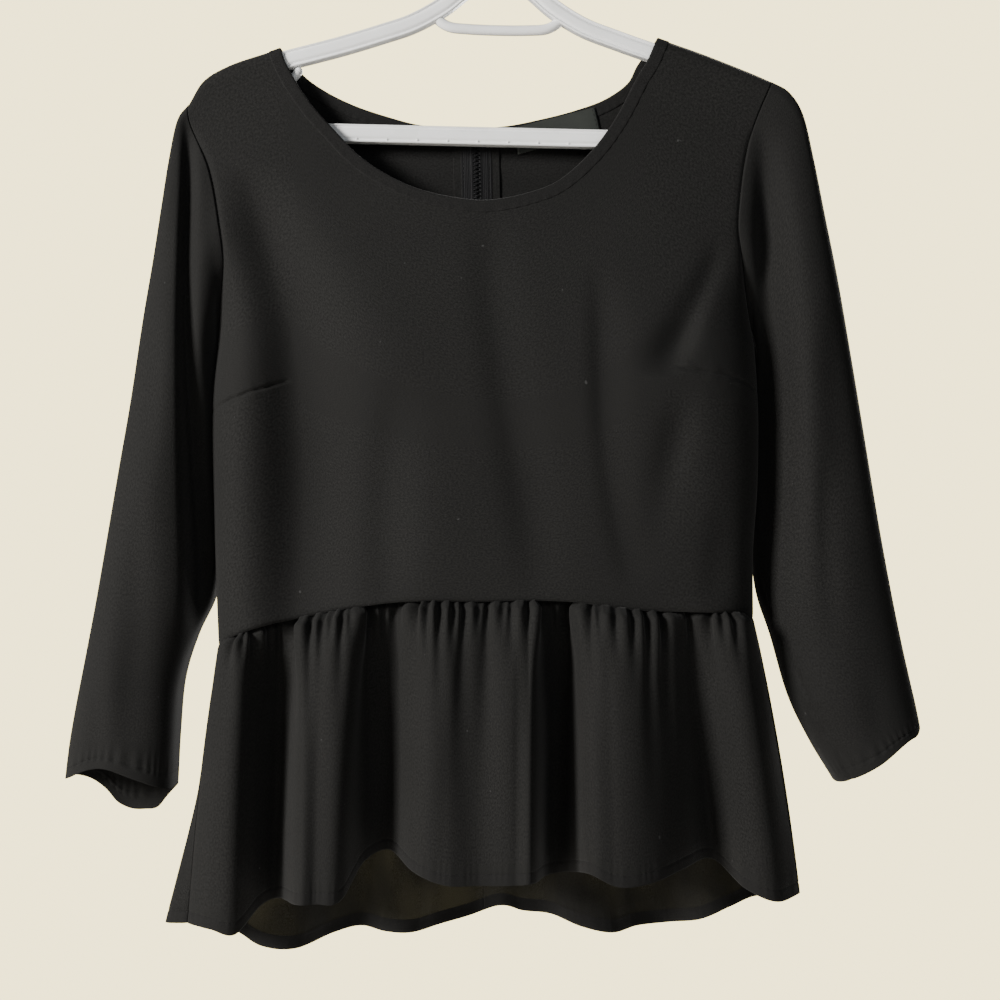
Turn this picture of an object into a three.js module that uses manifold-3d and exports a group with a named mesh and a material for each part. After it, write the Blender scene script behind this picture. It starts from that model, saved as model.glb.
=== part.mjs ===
// A peplum top with three-quarter sleeves, hung on a white plastic hanger.
// Units are millimetres and +Z is up. The front of the top faces -Y, and the origin is
// the inner top of the hanger's hook, where a rail would hold it.
import * as THREE from 'three';
import { mergeVertices } from 'three/addons/utils/BufferGeometryUtils.js';
import Module from 'manifold-3d';

const wasm = await Module();
wasm.setup();

// Driving dimensions of the cloth.
const CLOTH = 1.2; // wall of the cloth panels
const BAND_WIDTH = 9; // finished width of the neck binding
const BAND_WALL = 1.6; // the binding is folded, so it is thicker
const BAND_RISE = 0.3; // how far the binding stands out of the panel
const SEAM_GAP = 0.36; // space between two pieces at a seam
const WAIST_GAP = 0.5; // space between bodice and peplum
const FRONT_FULL = 34; // how far the front hangs forward at the waist
const BACK_FULL = 30; // how far the back hangs backward at the waist
const ARM_COVER = 6.5; // cloth to hanger centre where it lies over an arm
const ARM_ROUND = 8; // drop over which the cloth turns over an arm
const FALL = 230; // drop in which the body reaches its full depth
const SIDE_ROUND = 58; // width over which the body rounds into its side
const UNDERARM_REACH = 90; // height over which the armhole closes into the side

// Facing of a panel along Y.
const FRONT = -1;
const BACK = 1;

// Names the columns of a short table.
function table(names, rows) {
  return rows.map((row) => Object.fromEntries(names.map((name, i) => [name, row[i]])));
}

// Finished edges of the neck, from the photo's left to its right.
const NECK_FRONT = table(['x', 'z'], [
  [-150.3, -131.2], [-146.2, -142.9], [-131.5, -167.7], [-114.3, -188.0], [-92.5, -210.2],
  [-61.5, -228.3], [-32.1, -236.3], [-10.1, -238.3], [16.0, -233.6], [36.7, -225.4],
  [60.3, -203.9], [76.6, -181.0], [91.7, -151.9], [98.1, -141.6], [105.4, -124.4],
]);
const NECK_BACK = table(['x', 'z'], [
  [-150.3, -131.2], [-135.1, -148.7], [-120.2, -159.1], [-101.2, -168.2], [-77.9, -175.9],
  [-56.6, -181.2], [-25.6, -183.7], [3.4, -181.8], [26.9, -177.3], [49.5, -171.6],
  [70.7, -163.9], [86.3, -152.8], [92.4, -141.4], [105.4, -124.4],
]);

// Shoulder seams, armhole seams and side seams of the two sides, each from the top down.
const SIDES = {
  left: {
    hand: -1,
    shoulder: table(['x', 'z'], [[-150.3, -131.2], [-159.8, -134.6], [-185.7, -143.5], [-202.7, -153.7],
      [-212.9, -170.0]]),
    armhole: table(['x', 'z'], [[-212.9, -170.0], [-210.9, -183.1], [-197.9, -214.0], [-190.4, -248.3],
      [-186.7, -278.7], [-189.7, -305.0], [-193.3, -337.6]]),
    seam: table(['x', 'z'], [[-193.3, -337.6], [-196.0, -365.0], [-196.6, -393.7], [-195.9, -432.5],
      [-194.5, -484.8], [-192.5, -536.5]]),
  },
  right: {
    hand: 1,
    shoulder: table(['x', 'z'], [[105.4, -124.4], [112.8, -127.2], [133.9, -134.6], [168.6, -148.2],
      [182.9, -154.4]]),
    armhole: table(['x', 'z'], [[182.9, -154.4], [170.3, -184.1], [163.4, -210.9], [159.5, -236.9],
      [157.9, -256.0], [159.9, -272.7], [165.2, -304.8], [171.3, -334.0]]),
    seam: table(['x', 'z'], [[171.3, -334.0], [173.0, -358.0], [174.0, -380.8], [173.4, -432.5],
      [170.6, -471.9], [170.6, -518.2]]),
  },
};

// Height of the waist seam across the front and across the back.
const WAIST_FRONT = table(['x', 'z'], [
  [-192.5, -536.5], [-180.1, -530.0], [-166.0, -524.6], [-152.6, -520.8], [-138.2, -518.0],
  [-99.5, -510.2], [-64.5, -505.8], [-17.2, -505.6], [43.3, -505.6], [84.2, -511.0],
  [129.7, -512.6], [158.2, -514.0], [170.6, -518.2],
]);
const WAIST_BACK = table(['x', 'z'], [
  [-192.5, -536.5], [-150.0, -524.0], [-80.0, -514.0], [-11.0, -511.0], [60.0, -512.0],
  [130.0, -514.5], [170.6, -518.2],
]);
const CENTRE_BACK = { neck: { x: -18.0, z: -183.9 }, waist: { x: -11.0, z: -511.0 } };

// Soft forms of the front: bust fullness over each dart and the long soft folds beside it.
const BUST = table(['x', 'z', 'height', 'spread'], [[-138, -360, 5, 60], [112, -352, 5, 60]]);
const FRONT_FOLDS = table(['x', 'depth', 'width', 'top', 'bottom'], [
  [-155, 3.5, 15, -260, -545],
  [126, 2.0, 16, -300, -530],
  [8, 1.2, 22, -330, -530],
]);
const BACK_FOLDS = table(['x', 'depth', 'width', 'top', 'bottom'], [
  [-118, 3.0, 18, -280, -530],
  [84, 2.6, 16, -260, -530],
]);

// Gathers of the peplum's front: where each valley starts on the waist, how deep it is and
// how far down it runs.
const GATHERS_FRONT = table(['x', 'depth', 'reach'], [
  [-178.7, 1.6, 45], [-170.1, 1.2, 20], [-164.2, 1.8, 45], [-155.0, 1.4, 45], [-149.1, 1.5, 45],
  [-139.9, 2.4, 130], [-126.7, 2.0, 90], [-118.2, 1.4, 45], [-112.3, 1.1, 20], [-105.0, 1.8, 80],
  [-99.8, 1.1, 20], [-86.6, 2.6, 170], [-78.8, 1.2, 25], [-71.5, 1.6, 45], [-66.9, 1.0, 20],
  [-57.1, 2.2, 120], [-49.2, 1.6, 110], [-40.7, 2.0, 90], [-31.5, 1.5, 45], [-24.9, 2.0, 150],
  [-15.1, 1.1, 20], [-9.8, 2.0, 120], [0.7, 1.2, 20], [5.9, 1.5, 45], [17.1, 2.2, 160],
  [27.6, 1.8, 85], [32.9, 1.2, 45], [42.1, 2.6, 170], [57.2, 2.0, 90], [63.1, 1.1, 20],
  [73.6, 1.4, 40], [84.8, 1.6, 50], [94.6, 2.2, 170], [105.1, 2.2, 130], [122.9, 1.6, 45],
  [135.3, 2.0, 160], [143.9, 1.2, 20], [151.7, 1.6, 45],
]);
// The same for the back, spread evenly in groups of three sizes.
const BACK_GATHERS = 38;
const BACK_GATHER_SIZES = table(['depth', 'reach', 'shift'], [[2.2, 140, 0.8], [1.3, 25, -0.9], [1.8, 60, 0.4]]);

// Large folds at the peplum's hem: `at` is the fraction of the waist seam that hangs there.
const HEM_FRONT = table(['at', 'x', 'y', 'z'], [
  [0.00, -211.0, -17, -721.5], [0.07, -192.0, -30, -721.8], [0.12, -176.0, -29, -725.0],
  [0.155, -163.5, -8, -713.0], [0.19, -150.5, -6, -708.5], [0.22, -137.0, -39, -702.6],
  [0.26, -121.0, -46, -701.0], [0.295, -104.0, -42, -698.5], [0.33, -92.0, -13, -681.5],
  [0.37, -77.0, -10, -674.5], [0.41, -60.0, -38, -680.5], [0.46, -37.0, -50, -687.8],
  [0.51, -14.0, -46, -689.0], [0.56, 8.0, -50, -687.8], [0.595, 22.5, -46, -686.8],
  [0.615, 29.5, -12, -691.0], [0.645, 43.5, -10, -689.0], [0.675, 54.5, -45, -681.0],
  [0.72, 74.0, -54, -687.6], [0.77, 96.0, -50, -686.6], [0.83, 121.0, -29, -682.0],
  [0.88, 144.0, -15, -682.6], [0.92, 162.0, -26, -697.5], [0.96, 182.0, -25, -705.1],
  [1.00, 203.5, 0, -705.8],
]);
const HEM_BACK = table(['at', 'x', 'y', 'z'], [
  [0.00, -211.0, -17, -721.5], [0.03, -225.5, -9, -723.5], [0.06, -228.5, 6, -726.0],
  [0.10, -214.0, 27, -731.0], [0.15, -188.0, 34, -741.0], [0.20, -166.0, 17, -747.0],
  [0.25, -143.0, 18, -748.8], [0.30, -120.0, 46, -746.0], [0.35, -99.0, 47, -741.4],
  [0.39, -80.0, 22, -738.4], [0.43, -61.0, 20, -738.0], [0.46, -44.0, 43, -739.0],
  [0.49, -22.0, 46, -733.5], [0.51, -3.5, 38, -724.9], [0.54, 14.0, 45, -730.0],
  [0.59, 36.0, 44, -732.5], [0.63, 55.0, 21, -734.5], [0.67, 75.0, 20, -738.6],
  [0.72, 96.0, 45, -740.8], [0.77, 119.0, 45, -738.2], [0.81, 137.0, 22, -730.0],
  [0.86, 158.0, 20, -720.5], [0.91, 178.0, 35, -717.2], [0.96, 196.0, 22, -714.0],
  [1.00, 203.5, 0, -705.8],
]);
const PEPLUM_DROPS = [0, 6, 15, 32, 62, 105, 155]; // rows below the waist, before the hem
const PEPLUM_SWELL = 2.5; // how far the sides round out between waist and hem

// Sleeves: outer and inner outline, depth before and behind the middle, and the fall of the
// cuff's front and back against its sides, for stations from the armhole to the cuff.
const SLEEVE_COLUMNS = ['outX', 'outZ', 'inX', 'inZ', 'front', 'back'];
const SLEEVES = {
  left: {
    stations: table(SLEEVE_COLUMNS, [
      [-212.9, -170.0, -193.6, -337.9, 18, 16], [-220.4, -181.0, -195.4, -342.0, 20, 19],
      [-225.8, -207.4, -196.2, -348.0, 23, 23], [-229.9, -234.6, -197.2, -355.0, 26, 27],
      [-236.0, -275.4, -198.2, -366.0, 29, 31], [-242.8, -316.2, -199.0, -382.0, 31, 34],
      [-251.0, -370.6, -199.6, -408.0, 32, 36], [-259.0, -416.0, -199.8, -440.0, 32, 37],
      [-267.0, -462.0, -199.8, -474.0, 31, 37], [-275.0, -508.0, -201.0, -504.0, 31, 37],
      [-282.5, -548.0, -210.0, -531.0, 31, 36], [-288.0, -577.0, -217.6, -560.0, 32, 35],
      [-292.4, -603.0, -220.0, -595.0, 33, 35], [-295.2, -626.5, -221.7, -632.4, 34, 36],
    ]),
    fold: { x: -214.8, depth: 17, width: 6.5, top: -196, bottom: -505 },
    cuffSlope: 14,
    cuffDip: 8,
  },
  right: {
    stations: table(SLEEVE_COLUMNS, [
      [182.9, -154.4, 171.6, -334.3, 18, 16], [195.0, -161.6, 174.2, -338.0, 20, 18],
      [204.4, -177.0, 175.0, -344.0, 22, 22], [211.4, -207.4, 175.8, -351.0, 25, 26],
      [218.6, -245.0, 176.4, -361.0, 28, 30], [227.6, -291.0, 176.9, -376.0, 30, 33],
      [237.4, -348.0, 177.2, -400.0, 31, 35], [246.0, -400.0, 177.2, -432.0, 31, 36],
      [254.6, -452.0, 177.4, -468.0, 31, 36], [263.2, -499.0, 178.6, -502.0, 31, 36],
      [270.2, -533.8, 186.6, -532.0, 31, 36], [276.0, -560.0, 196.0, -572.0, 32, 35],
      [279.6, -576.0, 209.6, -602.0, 32, 35], [282.2, -590.0, 225.7, -629.0, 33, 35],
    ]),
    fold: { x: 181.5, depth: 13, width: 7.5, top: -230, bottom: -505 },
    cuffSlope: 1,
    cuffDip: 1,
  },
};
const ARMHOLE_BLEND = 5; // stations in which a sleeve leaves the armhole's own line

// Rows of the bodice as fractions of the armhole and of the side seam, and columns as
// fractions of a shoulder seam and of the neckline.
const ARMHOLE_ROWS = [0, 0.012, 0.04, 0.1, 0.2, 0.33, 0.47, 0.61, 0.74, 0.86, 0.95, 1];
const SEAM_ROWS = [0.1, 0.35, 0.65, 1];
const ARMHOLE_SHARE = 0.46; // part of the bodice's height that lies above the underarm
const SHOULDER_COLUMNS = [0, 0.08, 0.2, 0.36, 0.54, 0.76];
const NECK_COLUMNS = [0, 0.012, 0.03, 0.06, 0.11, 0.17, 0.24, 0.31, 0.38, 0.44, 0.5];

// Zip in the centre back and bare label in the back neck.
const ZIP = { halfWidth: 16.5, wall: 0.8, coilHalf: 1.4, coilRise: 1.2, end: 0.86 };
const LABEL_CORNERS = table(['x', 'z'], [[7.6, -183.6], [63.3, -169.8], [67.4, -185.4], [11.0, -201.4]]);
const LABEL_WALL = 0.6;
const SLIDER = { width: 7.5, length: 12, plate: 1.4, post: 1.1, bridge: 6.3, under: 2.4, top: 1, drop: 20 };
const PULL = { length: 21, pivot: 1.25, wall: 1.2, neck: 3.8, foot: 6.4, eyeHalf: 1.0, eyeEnd: 4.3 };

// Hanger: half outline of its one closed tube, centre line, before it leans to one side.
const HANGER_LEAN = 0.023; // radians, the photo's right side hangs lower
const HANGER_ARM = table(['x', 'z'], [
  [0, -84], [18, -89], [38, -104.6], [58, -116.2], [80, -124.2], [105, -132.4], [125, -138.2],
  [147, -144.5], [160, -149.3], [172, -154.4], [184, -159.8], [192, -166.4], [196, -174.5],
  [194.5, -184.5], [187, -190.6], [176, -192], [120, -192], [60, -192],
]);
const HANGER_WIRE = { high: 12, deep: 9 };
const HOOK = { radius: 24, wire: 8, shankFoot: -88, tipAngle: 200 };
const TIE_BAR = table(['x', 'z'], [[-47, -104], [-42, -112], [-34, -117.4], [-20, -119], [20, -119],
  [34, -117.4], [42, -112], [47, -104]]);
const TIE_WIRE = 7;
const STRAP_HOOK = table(['x', 'z'], [[158, -146], [158.5, -152.5], [154, -157.5], [146, -158.6],
  [139, -155.5], [135, -150.5]]);
const STRAP_WIRE = 6;

// Finishes.
const BLACK_CLOTH = { color: 0x2b2928, roughness: 0.86, metalness: 0 };
const BINDING_CLOTH = { color: 0x262424, roughness: 0.82, metalness: 0 };
const SATIN = { color: 0x2f312e, roughness: 0.5, metalness: 0 };
const ZIP_CLOTH = { color: 0x1f1e1e, roughness: 0.8, metalness: 0 };
const BLACK_METAL = { color: 0x242424, roughness: 0.45, metalness: 0.4 };
const WHITE_PLASTIC = { color: 0xf1f1ef, roughness: 0.35, metalness: 0 };

// Small numbers.
const lerp = (a, b, k) => a + (b - a) * k;
const clamp = (value, low, high) => Math.min(Math.max(value, low), high);

function smooth(value) {
  const k = clamp(value, 0, 1);
  return k * k * (3 - 2 * k);
}

function quarterRound(value) {
  const k = 1 - clamp(value, 0, 1);
  return Math.sqrt(1 - k * k);
}

function unit(vector) {
  return vector.clone().normalize();
}

// Reads column `wanted` of a table at a value of column `key`, straight between its rows.
function read(rows, key, wanted, value) {
  const rising = rows[rows.length - 1][key] > rows[0][key];
  const ordered = rising ? rows : [...rows].reverse();
  const last = ordered.length - 1;
  const at = clamp(value, ordered[0][key], ordered[last][key]);
  const next = clamp(ordered.findIndex((row) => row[key] >= at), 1, last);
  const from = ordered[next - 1];
  const to = ordered[next];
  return lerp(from[wanted], to[wanted], (at - from[key]) / (to[key] - from[key]));
}

// Reads a column the same way, but on a soft curve through the rows.
function readSoft(rows, key, wanted, value) {
  const last = rows.length - 1;
  const next = clamp(rows.findIndex((row) => row[key] >= value), 1, last);
  const span = rows[next][key] - rows[next - 1][key];
  const k = (value - rows[next - 1][key]) / span;
  const slope = (i) => {
    const before = rows[Math.max(i - 1, 0)];
    const after = rows[Math.min(i + 1, last)];
    return (after[wanted] - before[wanted]) / (after[key] - before[key]);
  };
  const from = rows[next - 1][wanted];
  const to = rows[next][wanted];
  const leave = slope(next - 1) * span;
  const reach = slope(next) * span;
  const k2 = k * k;
  const k3 = k2 * k;
  return from * (2 * k3 - 3 * k2 + 1) + leave * (k3 - 2 * k2 + k) + to * (3 * k2 - 2 * k3) + reach * (k3 - k2);
}

// A smooth line in the XZ plane through a table's rows.
function line(rows) {
  return new THREE.CatmullRomCurve3(rows.map((row) => new THREE.Vector3(row.x, 0, row.z)), false, 'centripetal');
}

// Turns vertices and faces into a geometry whose faces point outwards.
function solid(points, faces) {
  const geometry = new THREE.BufferGeometry();
  const volume = faces.reduce((sum, [a, b, c]) => {
    return sum + points[a].dot(new THREE.Vector3().crossVectors(points[b], points[c]));
  }, 0);
  const outward = volume > 0 ? faces : faces.map(([a, b, c]) => [a, c, b]);
  geometry.setAttribute('position', new THREE.Float32BufferAttribute(points.flatMap((p) => [p.x, p.y, p.z]), 3));
  geometry.setIndex(outward.flat());
  geometry.computeVertexNormals();
  return geometry;
}

// Two triangles for each square of a strip of points.
function quad(a, b, c, d) {
  return [[a, b, c], [a, c, d]];
}

// A cloth wall: `outer` is a grid of points, `inward` the direction of its thickness at
// each. With `ring` the columns close on themselves, as on a tube.
function wall(outer, inward, ring, thickness = () => CLOTH) {
  const rows = outer.length;
  const columns = outer[0].length;
  const layer = rows * columns;
  const inner = outer.map((row, r) => row.map((p, c) => p.clone().addScaledVector(inward[r][c], thickness(r, c))));
  const points = [...outer.flat(), ...inner.flat()];
  const at = (r, c) => r * columns + (c % columns);
  const faces = [];
  const lastColumn = ring ? columns : columns - 1;
  for (let r = 0; r < rows - 1; r += 1) {
    for (let c = 0; c < lastColumn; c += 1) {
      faces.push(...quad(at(r, c), at(r, c + 1), at(r + 1, c + 1), at(r + 1, c)));
      faces.push(...quad(layer + at(r, c), layer + at(r + 1, c), layer + at(r + 1, c + 1), layer + at(r, c + 1)));
    }
  }
  for (let c = 0; c < lastColumn; c += 1) {
    const end = rows - 1;
    faces.push(...quad(at(0, c + 1), at(0, c), layer + at(0, c), layer + at(0, c + 1)));
    faces.push(...quad(at(end, c), at(end, c + 1), layer + at(end, c + 1), layer + at(end, c)));
  }
  for (let r = 0; r < rows - 1 && !ring; r += 1) {
    const end = columns - 1;
    faces.push(...quad(at(r, 0), at(r + 1, 0), layer + at(r + 1, 0), layer + at(r, 0)));
    faces.push(...quad(at(r + 1, end), at(r, end), layer + at(r, end), layer + at(r + 1, end)));
  }
  return solid(points, faces);
}

// Directions square to a grid of points. `sign` picks the side.
function gridNormals(grid, ring, sign) {
  const rows = grid.length;
  const columns = grid[0].length;
  return grid.map((row, r) => row.map((point, c) => {
    const left = ring ? row[(c + columns - 1) % columns] : row[Math.max(c - 1, 0)];
    const right = ring ? row[(c + 1) % columns] : row[Math.min(c + 1, columns - 1)];
    const above = grid[Math.max(r - 1, 0)][c];
    const below = grid[Math.min(r + 1, rows - 1)][c];
    const across = new THREE.Vector3().subVectors(right, left);
    const down = new THREE.Vector3().subVectors(below, above);
    return across.cross(down).multiplyScalar(sign).normalize();
  }));
}

function mesh(name, geometry, finish) {
  const made = new THREE.Mesh(geometry, new THREE.MeshStandardMaterial(finish));
  made.name = name;
  return made;
}

// Height of the shoulder line over any place across the top.
const SHOULDER_LINE = [...[...SIDES.left.shoulder].reverse(), ...SIDES.right.shoulder];

// Where the body's edge lies at a height: the armhole above the underarm, the side seam below.
function edgeAt(side, z) {
  const underarm = side.seam[0].z;
  return read(z > underarm ? side.armhole : side.seam, 'z', 'x', z);
}

// How much of its depth the body keeps at its edge: all of it high on the armhole, none at
// the side seam.
function edgeShare(side, z) {
  return quarterRound((z - side.seam[0].z) / UNDERARM_REACH);
}

function roundedSide(side, x, z) {
  const share = edgeShare(side, z);
  const inside = (edgeAt(side, z) - x) * side.hand;
  return share + (1 - share) * quarterRound(inside / SIDE_ROUND);
}

function softForms(x, z, facing) {
  const folds = facing === FRONT ? FRONT_FOLDS : BACK_FOLDS;
  const bust = facing === FRONT ? BUST : [];
  const full = bust.reduce((sum, b) => sum + b.height * Math.exp(-((x - b.x) ** 2 + (z - b.z) ** 2) / b.spread ** 2), 0);
  const fold = folds.reduce((sum, f) => {
    const along = smooth((f.top - z) / 60) * smooth((z - f.bottom) / 60 + 0.5);
    return sum + f.depth * along * Math.exp(-(((x - f.x) / f.width) ** 2));
  }, 0);
  return full - fold;
}

// Depth of the body's cloth over a place of the front view. It turns over the hanger's arm,
// then falls forward or backward to its full depth.
function bodyDepth(x, z, facing) {
  const drop = read(SHOULDER_LINE, 'x', 'z', x) - z;
  const full = facing === FRONT ? FRONT_FULL : BACK_FULL;
  const hang = ARM_COVER * quarterRound(drop / ARM_ROUND) + (full - ARM_COVER) * smooth(drop / FALL);
  const sides = roundedSide(SIDES.left, x, z) * roundedSide(SIDES.right, x, z);
  return facing * sides * (hang + softForms(x, z, facing));
}

function bodyPoint(x, z, facing) {
  return new THREE.Vector3(x, bodyDepth(x, z, facing), z);
}

// Direction into the body, square to the cloth.
function bodyInward(x, z, facing) {
  const step = 0.8;
  const alongX = (bodyDepth(x + step, z, facing) - bodyDepth(x - step, z, facing)) / (2 * step);
  const alongZ = (bodyDepth(x, z + step, facing) - bodyDepth(x, z - step, facing)) / (2 * step);
  return unit(new THREE.Vector3(facing * alongX, -facing, facing * alongZ));
}

// Direction of the wall's thickness at the armhole seam, shared by bodice and sleeve: down
// at the shoulder tip, into the body at the front or back, up at the underarm.
function armholeInward(fraction, facing) {
  const angle = Math.PI * fraction;
  const level = Math.sin(angle) ** 0.5;
  return unit(new THREE.Vector3(0, -facing * level, -(Math.cos(angle) ** 3)));
}

// Direction of the wall's thickness at the shoulder seam, square to its slope.
function shoulderInward(x) {
  const step = 4;
  const slope = (read(SHOULDER_LINE, 'x', 'z', x + step) - read(SHOULDER_LINE, 'x', 'z', x - step)) / (2 * step);
  return unit(new THREE.Vector3(slope, 0, -1));
}

// A neckline moved away from the neck's opening by `distance`. At its ends it follows the
// shoulder seams, so that front and back meet there.
function movedNeck(neckRows, fraction, distance) {
  const curve = line(neckRows);
  const point = curve.getPointAt(fraction);
  const tangent = curve.getTangentAt(fraction);
  const away = new THREE.Vector3(tangent.z, 0, -tangent.x);
  const near = fraction < 0.5 ? SIDES.left : SIDES.right;
  const seam = new THREE.Vector3(near.shoulder[1].x - near.shoulder[0].x, 0, near.shoulder[1].z - near.shoulder[0].z);
  const ending = 1 - smooth(Math.min(fraction, 1 - fraction) / 0.06);
  away.normalize().lerp(unit(seam), ending).normalize();
  return point.addScaledVector(away, distance);
}

// Fractions of the neckline at which the panels have a column, from `from` to `to`.
function neckFractions(from, to) {
  const whole = [...NECK_COLUMNS, ...NECK_COLUMNS.slice(0, -1).reverse().map((k) => 1 - k)];
  const inside = whole.filter((k) => k > from + 0.01 && k < to - 0.01);
  return [from, ...inside, to];
}

// One bodice panel: a grid that is stretched between its top edge, its waist seam and its
// two side edges.
function bodicePanel({ top, leftEdge, rightEdge, waist, facing }) {
  const blends = [...ARMHOLE_ROWS.map((k) => k * ARMHOLE_SHARE),
    ...SEAM_ROWS.map((k) => ARMHOLE_SHARE + (1 - ARMHOLE_SHARE) * k)];
  const first = top[0];
  const last = top[top.length - 1];
  const rows = blends.length;
  const footLeft = leftEdge[rows - 1];
  const footRight = rightEdge[rows - 1];
  return blends.map((v, r) => top.map((head) => {
    const u = (head.x - first.x) / (last.x - first.x);
    const footX = lerp(footLeft.x, footRight.x, u);
    const foot = new THREE.Vector3(footX, 0, read(waist, 'x', 'z', footX));
    const flat = head.clone().lerp(foot, v);
    flat.addScaledVector(leftEdge[r], 1 - u).addScaledVector(rightEdge[r], u);
    flat.addScaledVector(first, -(1 - u) * (1 - v)).addScaledVector(last, -u * (1 - v));
    flat.addScaledVector(footLeft, -(1 - u) * v).addScaledVector(footRight, -u * v);
    return bodyPoint(flat.x, flat.z, facing);
  }));
}

// Points down a side of the body at the panel's rows.
function sideEdge(side) {
  const armhole = line(side.armhole);
  const seam = line(side.seam);
  return [...ARMHOLE_ROWS.map((k) => armhole.getPointAt(k)), ...SEAM_ROWS.map((k) => seam.getPointAt(k))];
}

// Points down the centre back at the panel's rows, from below the binding to the waist.
function centreEdge() {
  const head = new THREE.Vector3(CENTRE_BACK.neck.x, 0, CENTRE_BACK.neck.z - BAND_WIDTH - SEAM_GAP);
  const foot = new THREE.Vector3(CENTRE_BACK.waist.x, 0, CENTRE_BACK.waist.z);
  const blends = [...ARMHOLE_ROWS.map((k) => k * ARMHOLE_SHARE),
    ...SEAM_ROWS.map((k) => ARMHOLE_SHARE + (1 - ARMHOLE_SHARE) * k)];
  return blends.map((v) => head.clone().lerp(foot, v));
}

// Points from a shoulder tip to the neck's binding, at the panel's columns.
function shoulderTop(side) {
  const seam = line([...side.shoulder].reverse());
  const stop = 1 - (BAND_WIDTH + SEAM_GAP) / seam.getLength();
  return SHOULDER_COLUMNS.map((k) => seam.getPointAt(k * stop));
}

function neckTop(neckRows, from, to) {
  return neckFractions(from, to).map((k) => movedNeck(neckRows, k, BAND_WIDTH + SEAM_GAP));
}

// Where the centre back meets the back neckline, as a fraction of it.
function centreFraction() {
  const curve = line(NECK_BACK);
  let best = 0.5;
  for (let k = 0.3; k < 0.7; k += 0.001) {
    const nearer = Math.abs(curve.getPointAt(k).x - CENTRE_BACK.neck.x);
    if (nearer < Math.abs(curve.getPointAt(best).x - CENTRE_BACK.neck.x)) {
      best = k;
    }
  }
  return best;
}

// Thickness directions of a bodice panel. Seams that it shares with a neighbour use the
// direction that both have.
function bodiceInward(grid, facing, leftSide, rightSide, shoulderLeft, shoulderRight) {
  const rows = grid.length;
  const columns = grid[0].length;
  return grid.map((row, r) => row.map((p, c) => {
    const side = c === 0 ? leftSide : c === columns - 1 ? rightSide : null;
    if (side && r < ARMHOLE_ROWS.length - 1) {
      return armholeInward(ARMHOLE_ROWS[r], facing);
    }
    if (side && r === ARMHOLE_ROWS.length - 1) {
      return unit(new THREE.Vector3(-side.hand, 0, 0.6));
    }
    if (side) {
      return new THREE.Vector3(-side.hand, 0, 0);
    }
    if (r === 0 && (c <= shoulderLeft || c >= columns - 1 - shoulderRight)) {
      return shoulderInward(p.x);
    }
    const inward = bodyInward(p.x, p.z, facing);
    return r === rows - 1 ? unit(inward.setZ(0)) : inward;
  }));
}

// Moves the edges of a grid that lie on Y = 0 a little to their own side, so that front and
// back stay apart at the side and shoulder seams.
function partFromSeam(grid, facing) {
  grid.forEach((row) => row.forEach((p) => {
    if (Math.abs(p.y) < SEAM_GAP / 2) {
      p.y = facing * SEAM_GAP / 2;
    }
  }));
  return grid;
}

// Front panel, with its grid for the peplum that is sewn to it.
function frontBodice() {
  const left = shoulderTop(SIDES.left);
  const right = shoulderTop(SIDES.right).reverse();
  const top = [...left, ...neckTop(NECK_FRONT, 0, 1), ...right];
  const edges = { leftEdge: sideEdge(SIDES.left), rightEdge: sideEdge(SIDES.right) };
  const grid = partFromSeam(bodicePanel({ top, ...edges, waist: WAIST_FRONT, facing: FRONT }), FRONT);
  const inward = bodiceInward(grid, FRONT, SIDES.left, SIDES.right, left.length, right.length);
  return { made: mesh('front_bodice', wall(grid, inward, false), BLACK_CLOTH), hem: grid[grid.length - 1] };
}

function backBodice(name, side) {
  const centre = centreFraction();
  const isLeft = side === SIDES.left;
  const shoulder = isLeft ? shoulderTop(side) : shoulderTop(side).reverse();
  const neck = isLeft ? neckTop(NECK_BACK, 0, centre) : neckTop(NECK_BACK, centre, 1);
  const top = isLeft ? [...shoulder, ...neck] : [...neck, ...shoulder];
  const middle = centreEdge().map((p) => p.setX(p.x + side.hand * SEAM_GAP / 2));
  top[isLeft ? top.length - 1 : 0] = middle[0].clone();
  const leftEdge = isLeft ? sideEdge(side) : middle;
  const rightEdge = isLeft ? middle : sideEdge(side);
  const grid = partFromSeam(bodicePanel({ top, leftEdge, rightEdge, waist: WAIST_BACK, facing: BACK }), BACK);
  const atLeft = isLeft ? side : null;
  const atRight = isLeft ? null : side;
  const inward = bodiceInward(grid, BACK, atLeft, atRight, isLeft ? shoulder.length : -1, isLeft ? -1 : shoulder.length);
  return { made: mesh(name, wall(grid, inward, false), BLACK_CLOTH), hem: grid[grid.length - 1] };
}

// Neck binding: a folded strip that lies round the neckline, a little proud of the panels.
function neckBinding(name, neckRows, facing, from, to) {
  const across = [0, 0.5, 1];
  const fractions = neckFractions(from, to);
  const partAtCentre = (k) => (k === from && from > 0 ? SEAM_GAP / 2 : k === to && to < 1 ? -SEAM_GAP / 2 : 0);
  const flat = across.map((a) => fractions.map((k) => {
    return movedNeck(neckRows, k, a * BAND_WIDTH).add(new THREE.Vector3(partAtCentre(k), 0, 0));
  }));
  const inward = flat.map((row) => row.map((p, c) => {
    const onShoulder = fractions[c] === 0 || fractions[c] === 1;
    return onShoulder ? shoulderInward(p.x) : bodyInward(p.x, p.z, facing);
  }));
  const grid = flat.map((row, r) => row.map((p, c) => {
    const onShoulder = fractions[c] === 0 || fractions[c] === 1;
    const place = onShoulder ? new THREE.Vector3(p.x, 0, p.z) : bodyPoint(p.x, p.z, facing);
    return place.addScaledVector(inward[r][c], -BAND_RISE);
  }));
  return mesh(name, wall(partFromSeam(grid, facing), inward, false, () => BAND_WALL), BINDING_CLOTH);
}

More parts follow.
